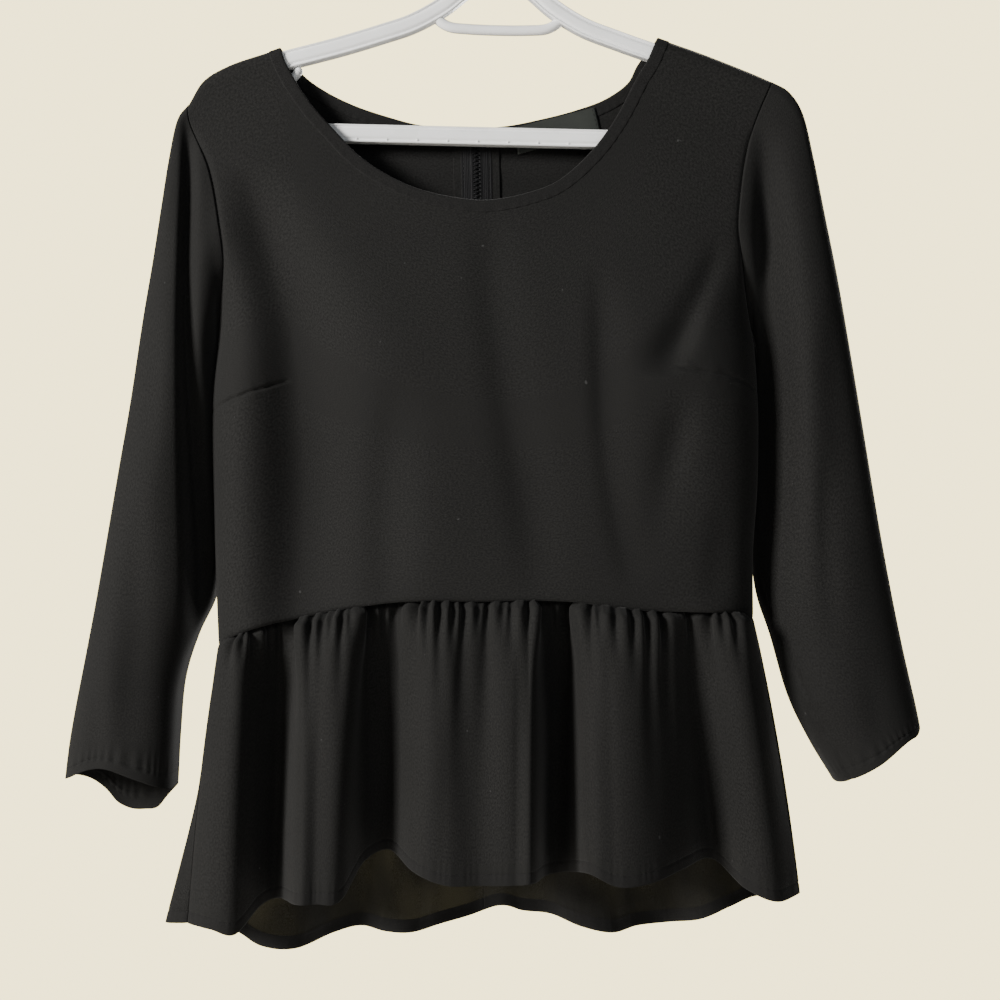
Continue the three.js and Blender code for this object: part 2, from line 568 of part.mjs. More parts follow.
// One sleeve: rings from the armhole seam to the cuff. Columns run from the outer line over
// the front to the underarm line and back behind.
function sleeveRing(station, cuffShare, sleeve) {
  const half = ARMHOLE_ROWS.length - 1;
  const ring = [];
  for (let j = 0; j < 2 * half; j += 1) {
    const facing = j <= half ? FRONT : BACK;
    const angle = Math.PI * (j / half);
    const across = (1 - Math.cos(angle)) / 2;
    const depth = (facing === FRONT ? station.front : station.back) * Math.abs(Math.sin(angle)) ** 0.85;
    const turn = facing * Math.abs(Math.sin(angle));
    const x = lerp(station.outX, station.inX, across);
    const fall = cuffShare * (sleeve.cuffSlope * turn + sleeve.cuffDip * turn * turn);
    ring.push(new THREE.Vector3(x, facing * depth, lerp(station.outZ, station.inZ, across) - fall));
  }
  return ring;
}

function armholeRing(side) {
  const curve = line(side.armhole);
  const half = ARMHOLE_ROWS.length - 1;
  const ring = [];
  for (let j = 0; j < 2 * half; j += 1) {
    const facing = j <= half ? FRONT : BACK;
    const fraction = ARMHOLE_ROWS[j <= half ? j : 2 * half - j];
    const flat = curve.getPointAt(fraction);
    const tangent = curve.getTangentAt(fraction);
    const point = bodyPoint(flat.x, flat.z, facing);
    const clear = fraction > 0.97 ? new THREE.Vector3(side.hand, 0, -1) : new THREE.Vector3(-tangent.z, 0, tangent.x);
    clear.multiplyScalar(clear.x * side.hand < 0 ? -1 : 1);
    ring.push({ point: point.addScaledVector(unit(clear), SEAM_GAP), inward: armholeInward(fraction, facing) });
  }
  return ring;
}

function foldInto(point, fold) {
  const along = smooth((fold.top - point.z) / 70) * smooth((point.z - fold.bottom) / 60);
  const into = fold.depth * along * Math.exp(-(((point.x - fold.x) / fold.width) ** 2));
  return point.y < 0 ? into : -into * 0.45;
}

function sleeve(name, side, shape) {
  const seam = armholeRing(side);
  const first = sleeveRing(shape.stations[0], 0, shape);
  const last = shape.stations.length - 1;
  const grid = shape.stations.map((station, s) => {
    const stay = s === 0 ? 1 : (1 - smooth(s / ARMHOLE_BLEND)) * 0.9;
    return sleeveRing(station, (s / last) ** 2, shape).map((p, j) => {
      p.addScaledVector(seam[j].point, stay).addScaledVector(first[j], -stay);
      p.y += s === 0 ? 0 : foldInto(p, shape.fold);
      return p;
    });
  });
  const inward = gridNormals(grid, true, -side.hand);
  inward[0] = seam.map((place) => place.inward);
  return mesh(name, wall(grid, inward, true), BLACK_CLOTH);
}

// Columns of the peplum round the whole waist. The front ones lie on the valleys and ridges
// of its gathers, the back ones on an even row of them.
function gatherColumns(gathers, from, to, sides) {
  const columns = [];
  const first = gathers[0];
  const last = gathers[gathers.length - 1];
  sides.forEach((inset) => columns.push({ x: from + inset, push: 0, reach: 1 }));
  columns.push({ x: (from + sides[sides.length - 1] + first.x) / 2 + 1, push: -0.5 * first.depth, reach: first.reach });
  gathers.forEach((gather, i) => {
    const next = gathers[i + 1];
    columns.push({ x: gather.x, push: gather.depth, reach: gather.reach });
    if (next) {
      const depth = Math.min(gather.depth, next.depth);
      columns.push({ x: (gather.x + next.x) / 2, push: -0.7 * depth, reach: Math.max(gather.reach, next.reach) });
    }
  });
  columns.push({ x: (to - sides[sides.length - 1] + last.x) / 2 - 1, push: -0.5 * last.depth, reach: last.reach });
  [...sides].reverse().forEach((inset) => columns.push({ x: to - inset, push: 0, reach: 1 }));
  return columns;
}

function backGathers(from, to) {
  const rows = [];
  for (let i = 0; i < BACK_GATHERS; i += 1) {
    const size = BACK_GATHER_SIZES[i % BACK_GATHER_SIZES.length];
    const x = lerp(from, to, (i + 0.5) / BACK_GATHERS) + size.shift;
    rows.push({ x, depth: size.depth, reach: size.reach });
  }
  return rows;
}

// One half of the peplum's ring before its gathers: straight folds from waist to hem.
function peplumColumn(column, facing, waist) {
  const from = SIDES.left.seam[SIDES.left.seam.length - 1].x;
  const to = SIDES.right.seam[SIDES.right.seam.length - 1].x;
  const at = clamp((column.x - from) / (to - from), 0, 1);
  const hem = facing === FRONT ? HEM_FRONT : HEM_BACK;
  const headZ = read(waist, 'x', 'z', column.x);
  const head = bodyPoint(column.x, headZ, facing).add(new THREE.Vector3(0, 0, -WAIST_GAP));
  const foot = new THREE.Vector3(...['x', 'y', 'z'].map((key) => readSoft(hem, 'at', key, at)));
  const rows = [...PEPLUM_DROPS, headZ - foot.z];
  const swell = (Math.abs(at - 0.5) * 2) ** 6 * Math.sign(at - 0.5) * PEPLUM_SWELL;
  return rows.map((drop) => {
    const k = drop / (headZ - foot.z);
    const point = head.clone().lerp(foot, k);
    point.y = lerp(head.y, foot.y, k ** 0.85);
    point.x += swell * 4 * k * (1 - k);
    return point;
  });
}

function peplumRing(waistFront, waistBack) {
  const from = SIDES.left.seam[SIDES.left.seam.length - 1].x;
  const to = SIDES.right.seam[SIDES.right.seam.length - 1].x;
  const front = gatherColumns(GATHERS_FRONT, from, to, [0, 0.7, 3, 7]);
  const back = gatherColumns(backGathers(from + 9, to - 9), from, to, [0, 0.7, 3]).reverse();
  const columns = [...front.map((column) => ({ ...column, facing: FRONT })),
    ...back.slice(1, -1).map((column) => ({ ...column, facing: BACK }))];
  const plain = columns.map((column) => {
    return peplumColumn(column, column.facing, column.facing === FRONT ? waistFront : waistBack);
  });
  const rows = plain[0].length;
  const smoothGrid = Array.from({ length: rows }, (_, r) => plain.map((points) => points[r]));
  const outwardSquare = gridNormals(smoothGrid, true, 1);
  const grid = smoothGrid.map((row, r) => row.map((point, c) => {
    const drop = r < PEPLUM_DROPS.length ? PEPLUM_DROPS[r] : 190;
    const start = 0.2 + 0.8 * smooth(drop / 10);
    const left = 1 - smooth(drop / (columns[c].reach * 1.5));
    return point.clone().addScaledVector(outwardSquare[r][c], columns[c].push * start * left);
  }));
  const inward = gridNormals(grid, true, 1);
  inward[0].forEach((direction) => direction.setZ(0).normalize());
  return { grid, inward, frontCount: front.length, columns };
}

// A piece of the peplum's ring, from column `from` to column `to`, parted a little from its
// neighbours.
function peplumPiece(name, ring, from, to) {
  const count = ring.grid[0].length;
  const pick = (rows) => rows.map((row) => {
    const piece = [];
    for (let c = from; c <= to; c += 1) {
      piece.push(row[c % count].clone());
    }
    return piece;
  });
  const grid = pick(ring.grid);
  grid.forEach((row) => {
    const end = row.length - 1;
    row[0].addScaledVector(unit(new THREE.Vector3().subVectors(row[1], row[0])), SEAM_GAP / 2);
    row[end].addScaledVector(unit(new THREE.Vector3().subVectors(row[end - 1], row[end])), SEAM_GAP / 2);
  });
  return mesh(name, wall(grid, pick(ring.inward), false), BLACK_CLOTH);
}

// Zip tape inside the centre back, with its coil as a low ridge.
function zipTape() {
  const across = [-ZIP.halfWidth, -ZIP.halfWidth / 2, -ZIP.coilHalf - 0.5, -ZIP.coilHalf, ZIP.coilHalf,
    ZIP.coilHalf + 0.5, ZIP.halfWidth / 2, ZIP.halfWidth];
  const heights = [0, 0.1, 0.25, 0.42, 0.6, 0.8, 1];
  const head = { x: CENTRE_BACK.neck.x, z: CENTRE_BACK.neck.z - BAND_WIDTH - 1.5 };
  const foot = CENTRE_BACK.waist;
  const flat = heights.map((k) => across.map((offset) => {
    return { x: lerp(head.x, foot.x, k * ZIP.end) + offset, z: lerp(head.z, foot.z, k * ZIP.end) };
  }));
  const inward = flat.map((row) => row.map((p) => bodyInward(p.x, p.z, BACK)));
  const grid = flat.map((row, r) => row.map((p, c) => {
    return bodyPoint(p.x, p.z, BACK).addScaledVector(inward[r][c], CLOTH + 0.45);
  }));
  const isCoil = (c) => c === 3 || c === 4;
  return mesh('zip_tape', wall(grid, inward, false, (r, c) => ZIP.wall + (isCoil(c) ? ZIP.coilRise : 0)), ZIP_CLOTH);
}

// Bare satin label inside the back neck, over the binding.
function neckLabel() {
  const [topLeft, topRight, lowRight, lowLeft] = LABEL_CORNERS;
  const acrossSteps = 8;
  const downSteps = 3;
  const flat = [];
  for (let r = 0; r <= downSteps; r += 1) {
    const row = [];
    for (let c = 0; c <= acrossSteps; c += 1) {
      const k = c / acrossSteps;
      const v = r / downSteps;
      const x = lerp(lerp(topLeft.x, topRight.x, k), lerp(lowLeft.x, lowRight.x, k), v);
      const z = lerp(lerp(topLeft.z, topRight.z, k), lerp(lowLeft.z, lowRight.z, k), v);
      row.push({ x, z });
    }
    flat.push(row);
  }
  const inward = flat.map((row) => row.map((p) => bodyInward(p.x, p.z, BACK)));
  const inside = BAND_WALL - BAND_RISE + 0.35;
  const grid = flat.map((row, r) => row.map((p, c) => bodyPoint(p.x, p.z, BACK).addScaledVector(inward[r][c], inside)));
  return mesh('neck_label', wall(grid, inward, false, () => LABEL_WALL), SATIN);
}

// Closed mesh to solid body and back, for joining.
function toBody(geometry) {
  const bare = geometry.clone();
  bare.deleteAttribute('normal');
  bare.deleteAttribute('uv');
  const merged = mergeVertices(bare);
  const vertProperties = new Float32Array(merged.attributes.position.array);
  const triVerts = new Uint32Array(merged.index.array);
  return new wasm.Manifold(new wasm.Mesh({ numProp: 3, vertProperties, triVerts }));
}

function fromBody(body) {
  const result = body.getMesh();
  const geometry = new THREE.BufferGeometry();
  geometry.setAttribute('position', new THREE.BufferAttribute(new Float32Array(result.vertProperties), 3));
  geometry.setIndex(new THREE.BufferAttribute(new Uint32Array(result.triVerts), 1));
  geometry.computeVertexNormals();
  return geometry;
}

function join(geometries) {
  return fromBody(geometries.map(toBody).reduce((sum, body) => sum.add(body)));
}

// A wire along a line in the XZ plane, with an eight-sided section.
function wire(path, high, deep, closed) {
  const sides = 8;
  const points = [];
  const faces = [];
  const count = path.length;
  path.forEach((p, i) => {
    const before = path[closed ? (i + count - 1) % count : Math.max(i - 1, 0)];
    const after = path[closed ? (i + 1) % count : Math.min(i + 1, count - 1)];
    const along = unit(new THREE.Vector3(after.x - before.x, 0, after.z - before.z));
    const square = new THREE.Vector3(-along.z, 0, along.x);
    for (let k = 0; k < sides; k += 1) {
      const angle = (2 * Math.PI * (k + 0.5)) / sides;
      const reach = 1 / Math.cos(Math.PI / sides);
      const point = new THREE.Vector3(p.x, Math.sin(angle) * reach * deep / 2, p.z);
      points.push(point.addScaledVector(square, Math.cos(angle) * reach * high / 2));
    }
  });
  for (let i = 0; i < (closed ? count : count - 1); i += 1) {
    for (let k = 0; k < sides; k += 1) {
      const a = i * sides;
      const b = ((i + 1) % count) * sides;
      const next = (k + 1) % sides;
      faces.push(...quad(a + k, a + next, b + next, b + k));
    }
  }
  for (let k = 1; k < sides - 1 && !closed; k += 1) {
    const end = (count - 1) * sides;
    faces.push([0, k + 1, k], [end, end + k, end + k + 1]);
  }
  return solid(points, faces);
}

// Hook: a shank that rises from the hanger's peak and turns over the rail.
function hookPath() {
  const path = [{ x: 0, z: HOOK.shankFoot }, { x: 0, z: -66 }, { x: 3, z: -56 }, { x: 11, z: -46.5 },
    { x: 19.2, z: -36.5 }];
  const centre = { x: 0, z: -(HOOK.radius - HOOK.wire / 2) };
  for (let angle = -18; angle <= HOOK.tipAngle; angle += 14) {
    const turn = (angle * Math.PI) / 180;
    path.push({ x: centre.x + HOOK.radius * Math.cos(turn), z: centre.z + HOOK.radius * Math.sin(turn) });
  }
  return path;
}

function hanger() {
  const half = line(HANGER_ARM).getSpacedPoints(26);
  const mirrored = half.slice(1).reverse().map((p) => new THREE.Vector3(-p.x, 0, p.z));
  const tube = wire([...half, ...mirrored], HANGER_WIRE.high, HANGER_WIRE.deep, true);
  const parts = [tube, wire(hookPath(), HOOK.wire, HOOK.wire, false),
    wire(line(TIE_BAR).getSpacedPoints(14), TIE_WIRE, TIE_WIRE, false)];
  [-1, 1].forEach((hand) => {
    const path = line(STRAP_HOOK).getSpacedPoints(8).map((p) => ({ x: p.x * hand, z: p.z }));
    parts.push(wire(path, STRAP_WIRE, STRAP_WIRE, false));
  });
  const joined = join(parts);
  joined.rotateY(HANGER_LEAN);
  return mesh('hanger', joined, WHITE_PLASTIC);
}

// Zip slider on the outside of the back neck, and its pull tab. Both lie along the cloth.
function sliderPlace() {
  const z = CENTRE_BACK.neck.z - SLIDER.drop;
  const x = lerp(CENTRE_BACK.neck.x, CENTRE_BACK.waist.x, SLIDER.drop / (CENTRE_BACK.neck.z - CENTRE_BACK.waist.z));
  const outward = bodyInward(x, z, BACK).negate();
  return { place: bodyPoint(x, z, BACK).addScaledVector(outward, 0.4), outward, lean: Math.atan2(outward.z, outward.y) };
}

function zipSlider() {
  const { place, lean } = sliderPlace();
  const box = (wide, out, high, y, z) => new THREE.BoxGeometry(wide, out, high).translate(0, y, z);
  const reach = SLIDER.under + SLIDER.top;
  const postZ = (SLIDER.bridge - SLIDER.post) / 2;
  const parts = [box(SLIDER.width, SLIDER.plate, SLIDER.length, SLIDER.plate / 2, 0)];
  [-1, 1].forEach((end) => parts.push(box(SLIDER.post, reach + 0.5, SLIDER.post, SLIDER.plate + (reach - 0.5) / 2, end * postZ)));
  parts.push(box(SLIDER.post, SLIDER.top, SLIDER.bridge, SLIDER.plate + SLIDER.under + SLIDER.top / 2, 0));
  const slider = mesh('zip_slider', join(parts), BLACK_METAL);
  slider.position.copy(place);
  slider.rotation.x = lean;
  return slider;
}

function zipPull() {
  const { place, outward, lean } = sliderPlace();
  const outline = new THREE.Shape(table(['x', 'z'], [
    [-PULL.neck / 2, PULL.wall / 2], [-PULL.neck / 2, -PULL.eyeEnd - 1], [-PULL.foot / 2, 5 - PULL.length],
    [-PULL.foot / 4, -PULL.length], [PULL.foot / 4, -PULL.length], [PULL.foot / 2, 5 - PULL.length],
    [PULL.neck / 2, -PULL.eyeEnd - 1], [PULL.neck / 2, PULL.wall / 2],
  ]).map((p) => new THREE.Vector2(p.x, p.z)));
  const eyeTop = -PULL.wall / 2;
  outline.holes.push(new THREE.Path(table(['x', 'z'], [[-PULL.eyeHalf, -PULL.eyeEnd], [PULL.eyeHalf, -PULL.eyeEnd],
    [PULL.eyeHalf, eyeTop], [-PULL.eyeHalf, eyeTop]]).map((p) => new THREE.Vector2(p.x, p.z))));
  const geometry = new THREE.ExtrudeGeometry(outline, { depth: PULL.wall, bevelEnabled: false, steps: 1 });
  geometry.translate(0, 0, -PULL.wall / 2).rotateX(Math.PI / 2);
  const pull = mesh('zip_pull', geometry, BLACK_METAL);
  pull.position.copy(place).addScaledVector(outward, SLIDER.plate + PULL.pivot);
  pull.rotation.x = lean;
  return pull;
}

const garment = new THREE.Group();
const centre = centreFraction();
const front = frontBodice();
const backLeft = backBodice('back_bodice_left', SIDES.left);
const backRight = backBodice('back_bodice_right', SIDES.right);
const peplum = peplumRing(front.hem, [...backLeft.hem, ...backRight.hem]);
const centreColumn = peplum.columns.reduce((best, column, i) => {
  const off = Math.abs(column.x - CENTRE_BACK.waist.x);
  return column.facing === BACK && off < best.off ? { off, i } : best;
}, { off: Infinity, i: 0 }).i;

garment.add(hanger());
garment.add(front.made);
garment.add(backLeft.made);
garment.add(backRight.made);
garment.add(neckBinding('neck_binding_front', NECK_FRONT, FRONT, 0, 1));
garment.add(neckBinding('neck_binding_back_left', NECK_BACK, BACK, 0, centre));
garment.add(neckBinding('neck_binding_back_right', NECK_BACK, BACK, centre, 1));
garment.add(sleeve('sleeve_left', SIDES.left, SLEEVES.left));
garment.add(sleeve('sleeve_right', SIDES.right, SLEEVES.right));
garment.add(peplumPiece('peplum_front', peplum, 0, peplum.frontCount - 1));
garment.add(peplumPiece('peplum_back_right', peplum, peplum.frontCount - 1, centreColumn));
garment.add(peplumPiece('peplum_back_left', peplum, centreColumn, peplum.grid[0].length));
garment.add(zipTape());
garment.add(zipSlider());
garment.add(zipPull());
garment.add(neckLabel());

export default garment;
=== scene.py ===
# A black peplum top with three-quarter sleeves, hung on a white plastic hanger.
# Sizes are millimetres, and each finished mesh is turned to metres. Only the studio, the flat
# cuts and the weaves are in metres. +Z is up, the front of the top faces -Y, and the origin is
# where a rail holds the hanger's hook.
import math

import bmesh
import bpy
import numpy as np
from mathutils import Matrix, Vector


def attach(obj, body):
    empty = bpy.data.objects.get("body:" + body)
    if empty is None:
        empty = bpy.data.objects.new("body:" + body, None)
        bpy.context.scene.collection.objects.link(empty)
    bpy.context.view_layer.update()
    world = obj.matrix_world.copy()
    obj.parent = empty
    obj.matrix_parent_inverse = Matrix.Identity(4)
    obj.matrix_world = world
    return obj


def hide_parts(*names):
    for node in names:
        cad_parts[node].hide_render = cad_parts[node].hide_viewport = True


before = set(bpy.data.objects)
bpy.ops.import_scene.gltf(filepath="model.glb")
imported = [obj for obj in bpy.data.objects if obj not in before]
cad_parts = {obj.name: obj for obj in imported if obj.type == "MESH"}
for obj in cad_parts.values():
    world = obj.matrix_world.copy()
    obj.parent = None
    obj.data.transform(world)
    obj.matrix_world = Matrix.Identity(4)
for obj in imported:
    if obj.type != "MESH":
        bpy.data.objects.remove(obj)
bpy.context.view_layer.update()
MM = 0.001

# Studio
# The view is level with the middle of the top, one metre in front of it, in a pale room with
# a soft window to the left, and weaker light from the front right and from behind.
VIEW_DISTANCE = 1.0
VIEW_WIDTH = 0.68  # metres of the hanger's own plane that fill the picture
VIEW_MIDDLE = (-0.0014, -0.4386)  # x and z
SENSOR = 36
FLOOR_HEIGHT = -1.4
FLOOR_SIZE = (6.0, 4.2)
FLOOR_MIDDLE = -0.7  # y
FLOOR_COLOUR = (0.72, 0.69, 0.64, 1)
WALL_COLOUR = (0.80, 0.69, 0.36, 1)
WALL_STRENGTH = 4.6
ROOM_LIGHT = (0.9, 0.92, 1.0, 1)
ROOM_STRENGTH = 0.012

lens = bpy.data.cameras.new("camera")
lens.sensor_width = SENSOR
lens.lens = SENSOR * VIEW_DISTANCE / VIEW_WIDTH
camera = bpy.data.objects.new("camera", lens)
camera.location = (VIEW_MIDDLE[0], -VIEW_DISTANCE, VIEW_MIDDLE[1])
camera.rotation_euler = (math.radians(90), 0, 0)
bpy.context.scene.collection.objects.link(camera)
bpy.context.scene.camera = camera


def soft_light(name, place, size, power, colour):
    """A square light that faces the middle of the top."""
    lamp = bpy.data.lights.new(name, "AREA")
    lamp.size = size
    lamp.energy = power
    lamp.color = colour
    light = bpy.data.objects.new(name, lamp)
    light.location = place
    aim = Vector((VIEW_MIDDLE[0], 0, VIEW_MIDDLE[1])) - Vector(place)
    light.rotation_euler = aim.to_track_quat("-Z", "Y").to_euler()
    bpy.context.scene.collection.objects.link(light)


soft_light("window", (-2.35, -1.8, 0.4), 0.8, 194, (1.0, 0.98, 0.94))
soft_light("front_wall", (0.95, -2.3, 0.1), 1.6, 12, (0.9, 0.95, 1.0))
soft_light("behind", (0.9, 1.7, 0.2), 1.2, 50, (1.0, 0.98, 0.95))


def room_world():
    """A pale surround for the eye, and a dim even light for the cloth."""
    world = bpy.data.worlds.new("room")
    world.use_nodes = True
    nodes = world.node_tree.nodes
    links = world.node_tree.links
    nodes.clear()
    seen = nodes.new("ShaderNodeBackground")
    seen.inputs["Color"].default_value = WALL_COLOUR
    seen.inputs["Strength"].default_value = WALL_STRENGTH
    light = nodes.new("ShaderNodeBackground")
    light.inputs["Color"].default_value = ROOM_LIGHT
    light.inputs["Strength"].default_value = ROOM_STRENGTH
    path = nodes.new("ShaderNodeLightPath")
    mix = nodes.new("ShaderNodeMixShader")
    output = nodes.new("ShaderNodeOutputWorld")
    links.new(path.outputs["Is Camera Ray"], mix.inputs[0])
    links.new(light.outputs[0], mix.inputs[1])
    links.new(seen.outputs[0], mix.inputs[2])
    links.new(mix.outputs[0], output.inputs[0])
    bpy.context.scene.world = world


room_world()


def pale_floor():
    """A plain floor far below the picture, which throws a little light back up."""
    bm = bmesh.new()
    bmesh.ops.create_grid(bm, x_segments=1, y_segments=1, size=0.5)
    bmesh.ops.scale(bm, vec=(*FLOOR_SIZE, 1), verts=bm.verts)
    bmesh.ops.translate(bm, vec=(0, FLOOR_MIDDLE, FLOOR_HEIGHT), verts=bm.verts)
    mesh = bpy.data.meshes.new("floor")
    bm.to_mesh(mesh)
    bm.free()
    floor = bpy.data.objects.new("floor", mesh)
    material = bpy.data.materials.new("pale_floor")
    material.use_nodes = True
    shader = material.node_tree.nodes["Principled BSDF"]
    shader.inputs["Base Color"].default_value = FLOOR_COLOUR
    shader.inputs["Roughness"].default_value = 0.8
    mesh.materials.append(material)
    bpy.context.scene.collection.objects.link(floor)


pale_floor()

# Hanger
# A standard adult hanger, one white moulding: a ribbed frame with a straight bar, a hook, a
# tie bar under the neck and two strap hooks. It leans a little, so its right end is lower.
HANGER_LEAN = 0.023  # radians
HANGER_ARM = [  # x, z of the frame's centre line, from the neck round the right end to the bar
    (0, -84), (18, -89), (38, -104.6), (58, -116.2), (80, -124.2), (105, -132.4), (125, -138.2),
    (147, -144.5), (160, -149.3), (172, -154.4), (184, -159.8), (192, -166.4), (196, -174.5),
    (194.5, -184.5), (187, -190.6), (176, -192), (120, -192), (60, -192), (0, -192),
]
FRAME_SECTION = [  # height and depth of a quarter of the frame's section: rim, groove and rib
    (6.0, 0.0), (6.0, 3.4), (5.6, 4.1), (4.9, 4.2), (4.5, 3.2), (3.8, 3.1), (3.3, 3.9), (2.4, 4.4),
    (1.2, 4.5), (0.0, 4.5),
]
HOOK_RADIUS = 24
HOOK_WIRE = 8
HOOK_SHANK = [(0, -88), (0, -66), (3, -56), (11, -46.5), (19.2, -36.5)]
HOOK_ARC = (-18, 200)  # degrees
TIE_BAR = [(-47, -104), (-42, -112), (-34, -117.4), (-20, -119), (20, -119), (34, -117.4),
           (42, -112), (47, -104)]
TIE_WIRE = 7
STRAP_HOOK = [(158, -146), (158.5, -152.5), (154, -157.5), (146, -158.6), (139, -155.5),
              (135, -150.5)]
STRAP_WIRE = 6
TICK_STEP = 20.5  # distance between the small webs in the bar's lower groove
TICK_SPAN = (-135, 120)
TICK_SIZE = (0.9, 1.1, 1.3)
TICK_PLACE = (-3.5, -196.1)  # y and z


def soft_read(value, keys, values):
    """Reads a table at `value` on a smooth curve through its rows."""
    keys = np.asarray(keys, float)
    values = np.asarray(values, float)
    slopes = np.gradient(values, keys, axis=0)
    row = np.clip(np.searchsorted(keys, value) - 1, 0, len(keys) - 2)
    gap = keys[row + 1] - keys[row]
    k = np.clip((value - keys[row]) / gap, 0, 1)
    if values.ndim == 2:
        k, gap = k[:, None], gap[:, None]
    start = values[row] * (2 * k ** 3 - 3 * k ** 2 + 1)
    leaving = slopes[row] * gap * (k ** 3 - 2 * k ** 2 + k)
    end = values[row + 1] * (3 * k ** 2 - 2 * k ** 3)
    arriving = slopes[row + 1] * gap * (k ** 3 - k ** 2)
    return start + leaving + (end + arriving)


def soft_line(points, steps=20):
    """A smooth line through a few points."""
    points = np.asarray(points, float)
    gaps = np.sqrt(np.linalg.norm(np.diff(points, axis=0), axis=1))
    knots = np.concatenate([[0.0], np.cumsum(gaps)])
    fine = np.linspace(0, knots[-1], steps * len(points))
    return soft_read(fine, knots, points)


def walk(line, fraction):
    """Places at fractions of a line's length."""
    steps = np.linalg.norm(np.diff(line, axis=0), axis=1)
    lengths = np.concatenate([[0.0], np.cumsum(steps)])
    places = [np.interp(fraction * lengths[-1], lengths, column) for column in line.T]
    return np.stack(places, axis=-1)


def moulded_rod(bm, path, outline, closed=False):
    """Sweeps a closed outline of heights and depths along a path in the XZ plane."""
    count = len(path)
    around = len(outline)
    along = count if closed else count - 1
    ahead = np.roll(path, -1, axis=0) - np.roll(path, 1, axis=0)
    if not closed:
        ahead[0] = path[1] - path[0]
        ahead[-1] = path[-1] - path[-2]
    ahead /= np.linalg.norm(ahead, axis=1)[:, None]
    made = bmesh.ops.create_grid(bm, x_segments=around, y_segments=along, size=0.5)["verts"]
    for vert in made:
        high, deep = outline[round((vert.co.x + 0.5) * around) % around]
        i = round((vert.co.y + 0.5) * along) % count
        x, z = path[i] + np.array((-ahead[i][1], ahead[i][0])) * high
        vert.co = (x * MM, deep * MM, z * MM)
    bmesh.ops.remove_doubles(bm, verts=made, dist=1e-6)
    if not closed:
        ends = [edge for edge in bm.edges if edge.is_boundary]
        bmesh.ops.holes_fill(bm, edges=ends, sides=0)


def round_outline(width, sides=16):
    """The section of a round rod."""
    turns = np.linspace(0, 2 * math.pi, sides, endpoint=False)
    return np.stack([np.cos(turns), np.sin(turns)], axis=-1) * width / 2


def frame_outline():
    """The frame's whole section from its quarter, even on all four sides."""
    quarter = np.array(FRAME_SECTION)
    half = np.vstack([quarter, quarter[-2::-1] * (-1, 1)])
    whole = np.vstack([half, half[-2::-1] * (1, -1)])
    return walk(whole, np.linspace(0, 1, 56, endpoint=False))


def hook_line():
    """The hook's middle line, up its shank and over the rail."""
    turns = np.radians(np.linspace(*HOOK_ARC, 40))
    middle = HOOK_RADIUS - HOOK_WIRE / 2
    arc = np.stack([HOOK_RADIUS * np.cos(turns), HOOK_RADIUS * np.sin(turns) - middle], axis=-1)
    return np.vstack([soft_line(HOOK_SHANK, 8)[:-1], arc])


def add_node(tree, kind, values=None, feeds=None):
    """Adds a node, sets the numbers on its sockets and links what feeds them."""
    node = tree.nodes.new(kind)
    for socket, value in (values or {}).items():
        node.inputs[socket].default_value = value
    for socket, source in (feeds or {}).items():
        tree.links.new(source, node.inputs[socket])
    return node


def new_material(name, values):
    """A material with numbers set on its shader, its node tree, and its coordinates."""
    material = bpy.data.materials.new(name)
    material.use_nodes = True
    tree = material.node_tree
    shader = tree.nodes["Principled BSDF"]
    for socket, value in values.items():
        shader.inputs[socket].default_value = value
    return material, tree, add_node(tree, "ShaderNodeTexCoord").outputs


def feed(tree, sources):
    """Links patterns to the shader's own sockets."""
    shader = tree.nodes["Principled BSDF"]
    for socket, source in sources.items():
        tree.links.new(source, shader.inputs[socket])


def noise(tree, place, scale, detail=2):
    """A soft cloudy pattern."""
    values = {"Scale": scale, "Detail": detail}
    return add_node(tree, "ShaderNodeTexNoise", values, {"Vector": place}).outputs["Fac"]


def ramp(tree, pattern, low, high):
    """Colours a pattern, from one position and colour to another."""
    node = add_node(tree, "ShaderNodeValToRGB", feeds={"Fac": pattern})
    for element, (position, colour) in zip(node.color_ramp.elements, (low, high)):
        element.position = position
        element.color = (*colour, 1)
    return node.outputs["Color"]


def span(tree, pattern, low, high, start=0, end=1):
    """Spreads a pattern's run from start to end over the numbers from low to high."""
    values = {"From Min": start, "From Max": end, "To Min": low, "To Max": high}
    return add_node(tree, "ShaderNodeMapRange", values, {"Value": pattern}).outputs["Result"]


def bump(tree, height, strength, distance):
    """Makes the light catch a pattern as low relief."""
    values = {"Strength": strength, "Distance": distance}
    return add_node(tree, "ShaderNodeBump", values, {"Height": height}).outputs["Normal"]


def plastic(name):
    """White moulded plastic: glossy, with the faint unevenness of its mould."""
    material, tree, coords = new_material(name, {
        "IOR": 1.49, "Subsurface Weight": 0.08, "Subsurface Radius": (0.004, 0.004, 0.004),
        "Coat Weight": 0.25, "Coat Roughness": 0.12,
    })
    flow = noise(tree, coords["Object"], 38, 4)
    skin = noise(tree, coords["Object"], 420)
    feed(tree, {
        "Base Color": ramp(tree, flow, (0.35, (0.88, 0.885, 0.88)), (0.62, (0.93, 0.935, 0.93))),
        "Roughness": span(tree, flow, 0.22, 0.36),
        "Normal": bump(tree, skin, 0.12, 0.0003),
    })
    return material


def finished(name, bm, material, body="garment"):
    """Turns a bmesh into an object that rides on a body."""
    mesh = bpy.data.meshes.new(name)
    bm.to_mesh(mesh)
    bm.free()
    mesh.materials.append(material)
    mesh.polygons.foreach_set("use_smooth", [True] * len(mesh.polygons))
    made = bpy.data.objects.new(name, mesh)
    bpy.context.scene.collection.objects.link(made)
    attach(made, body)
    return made


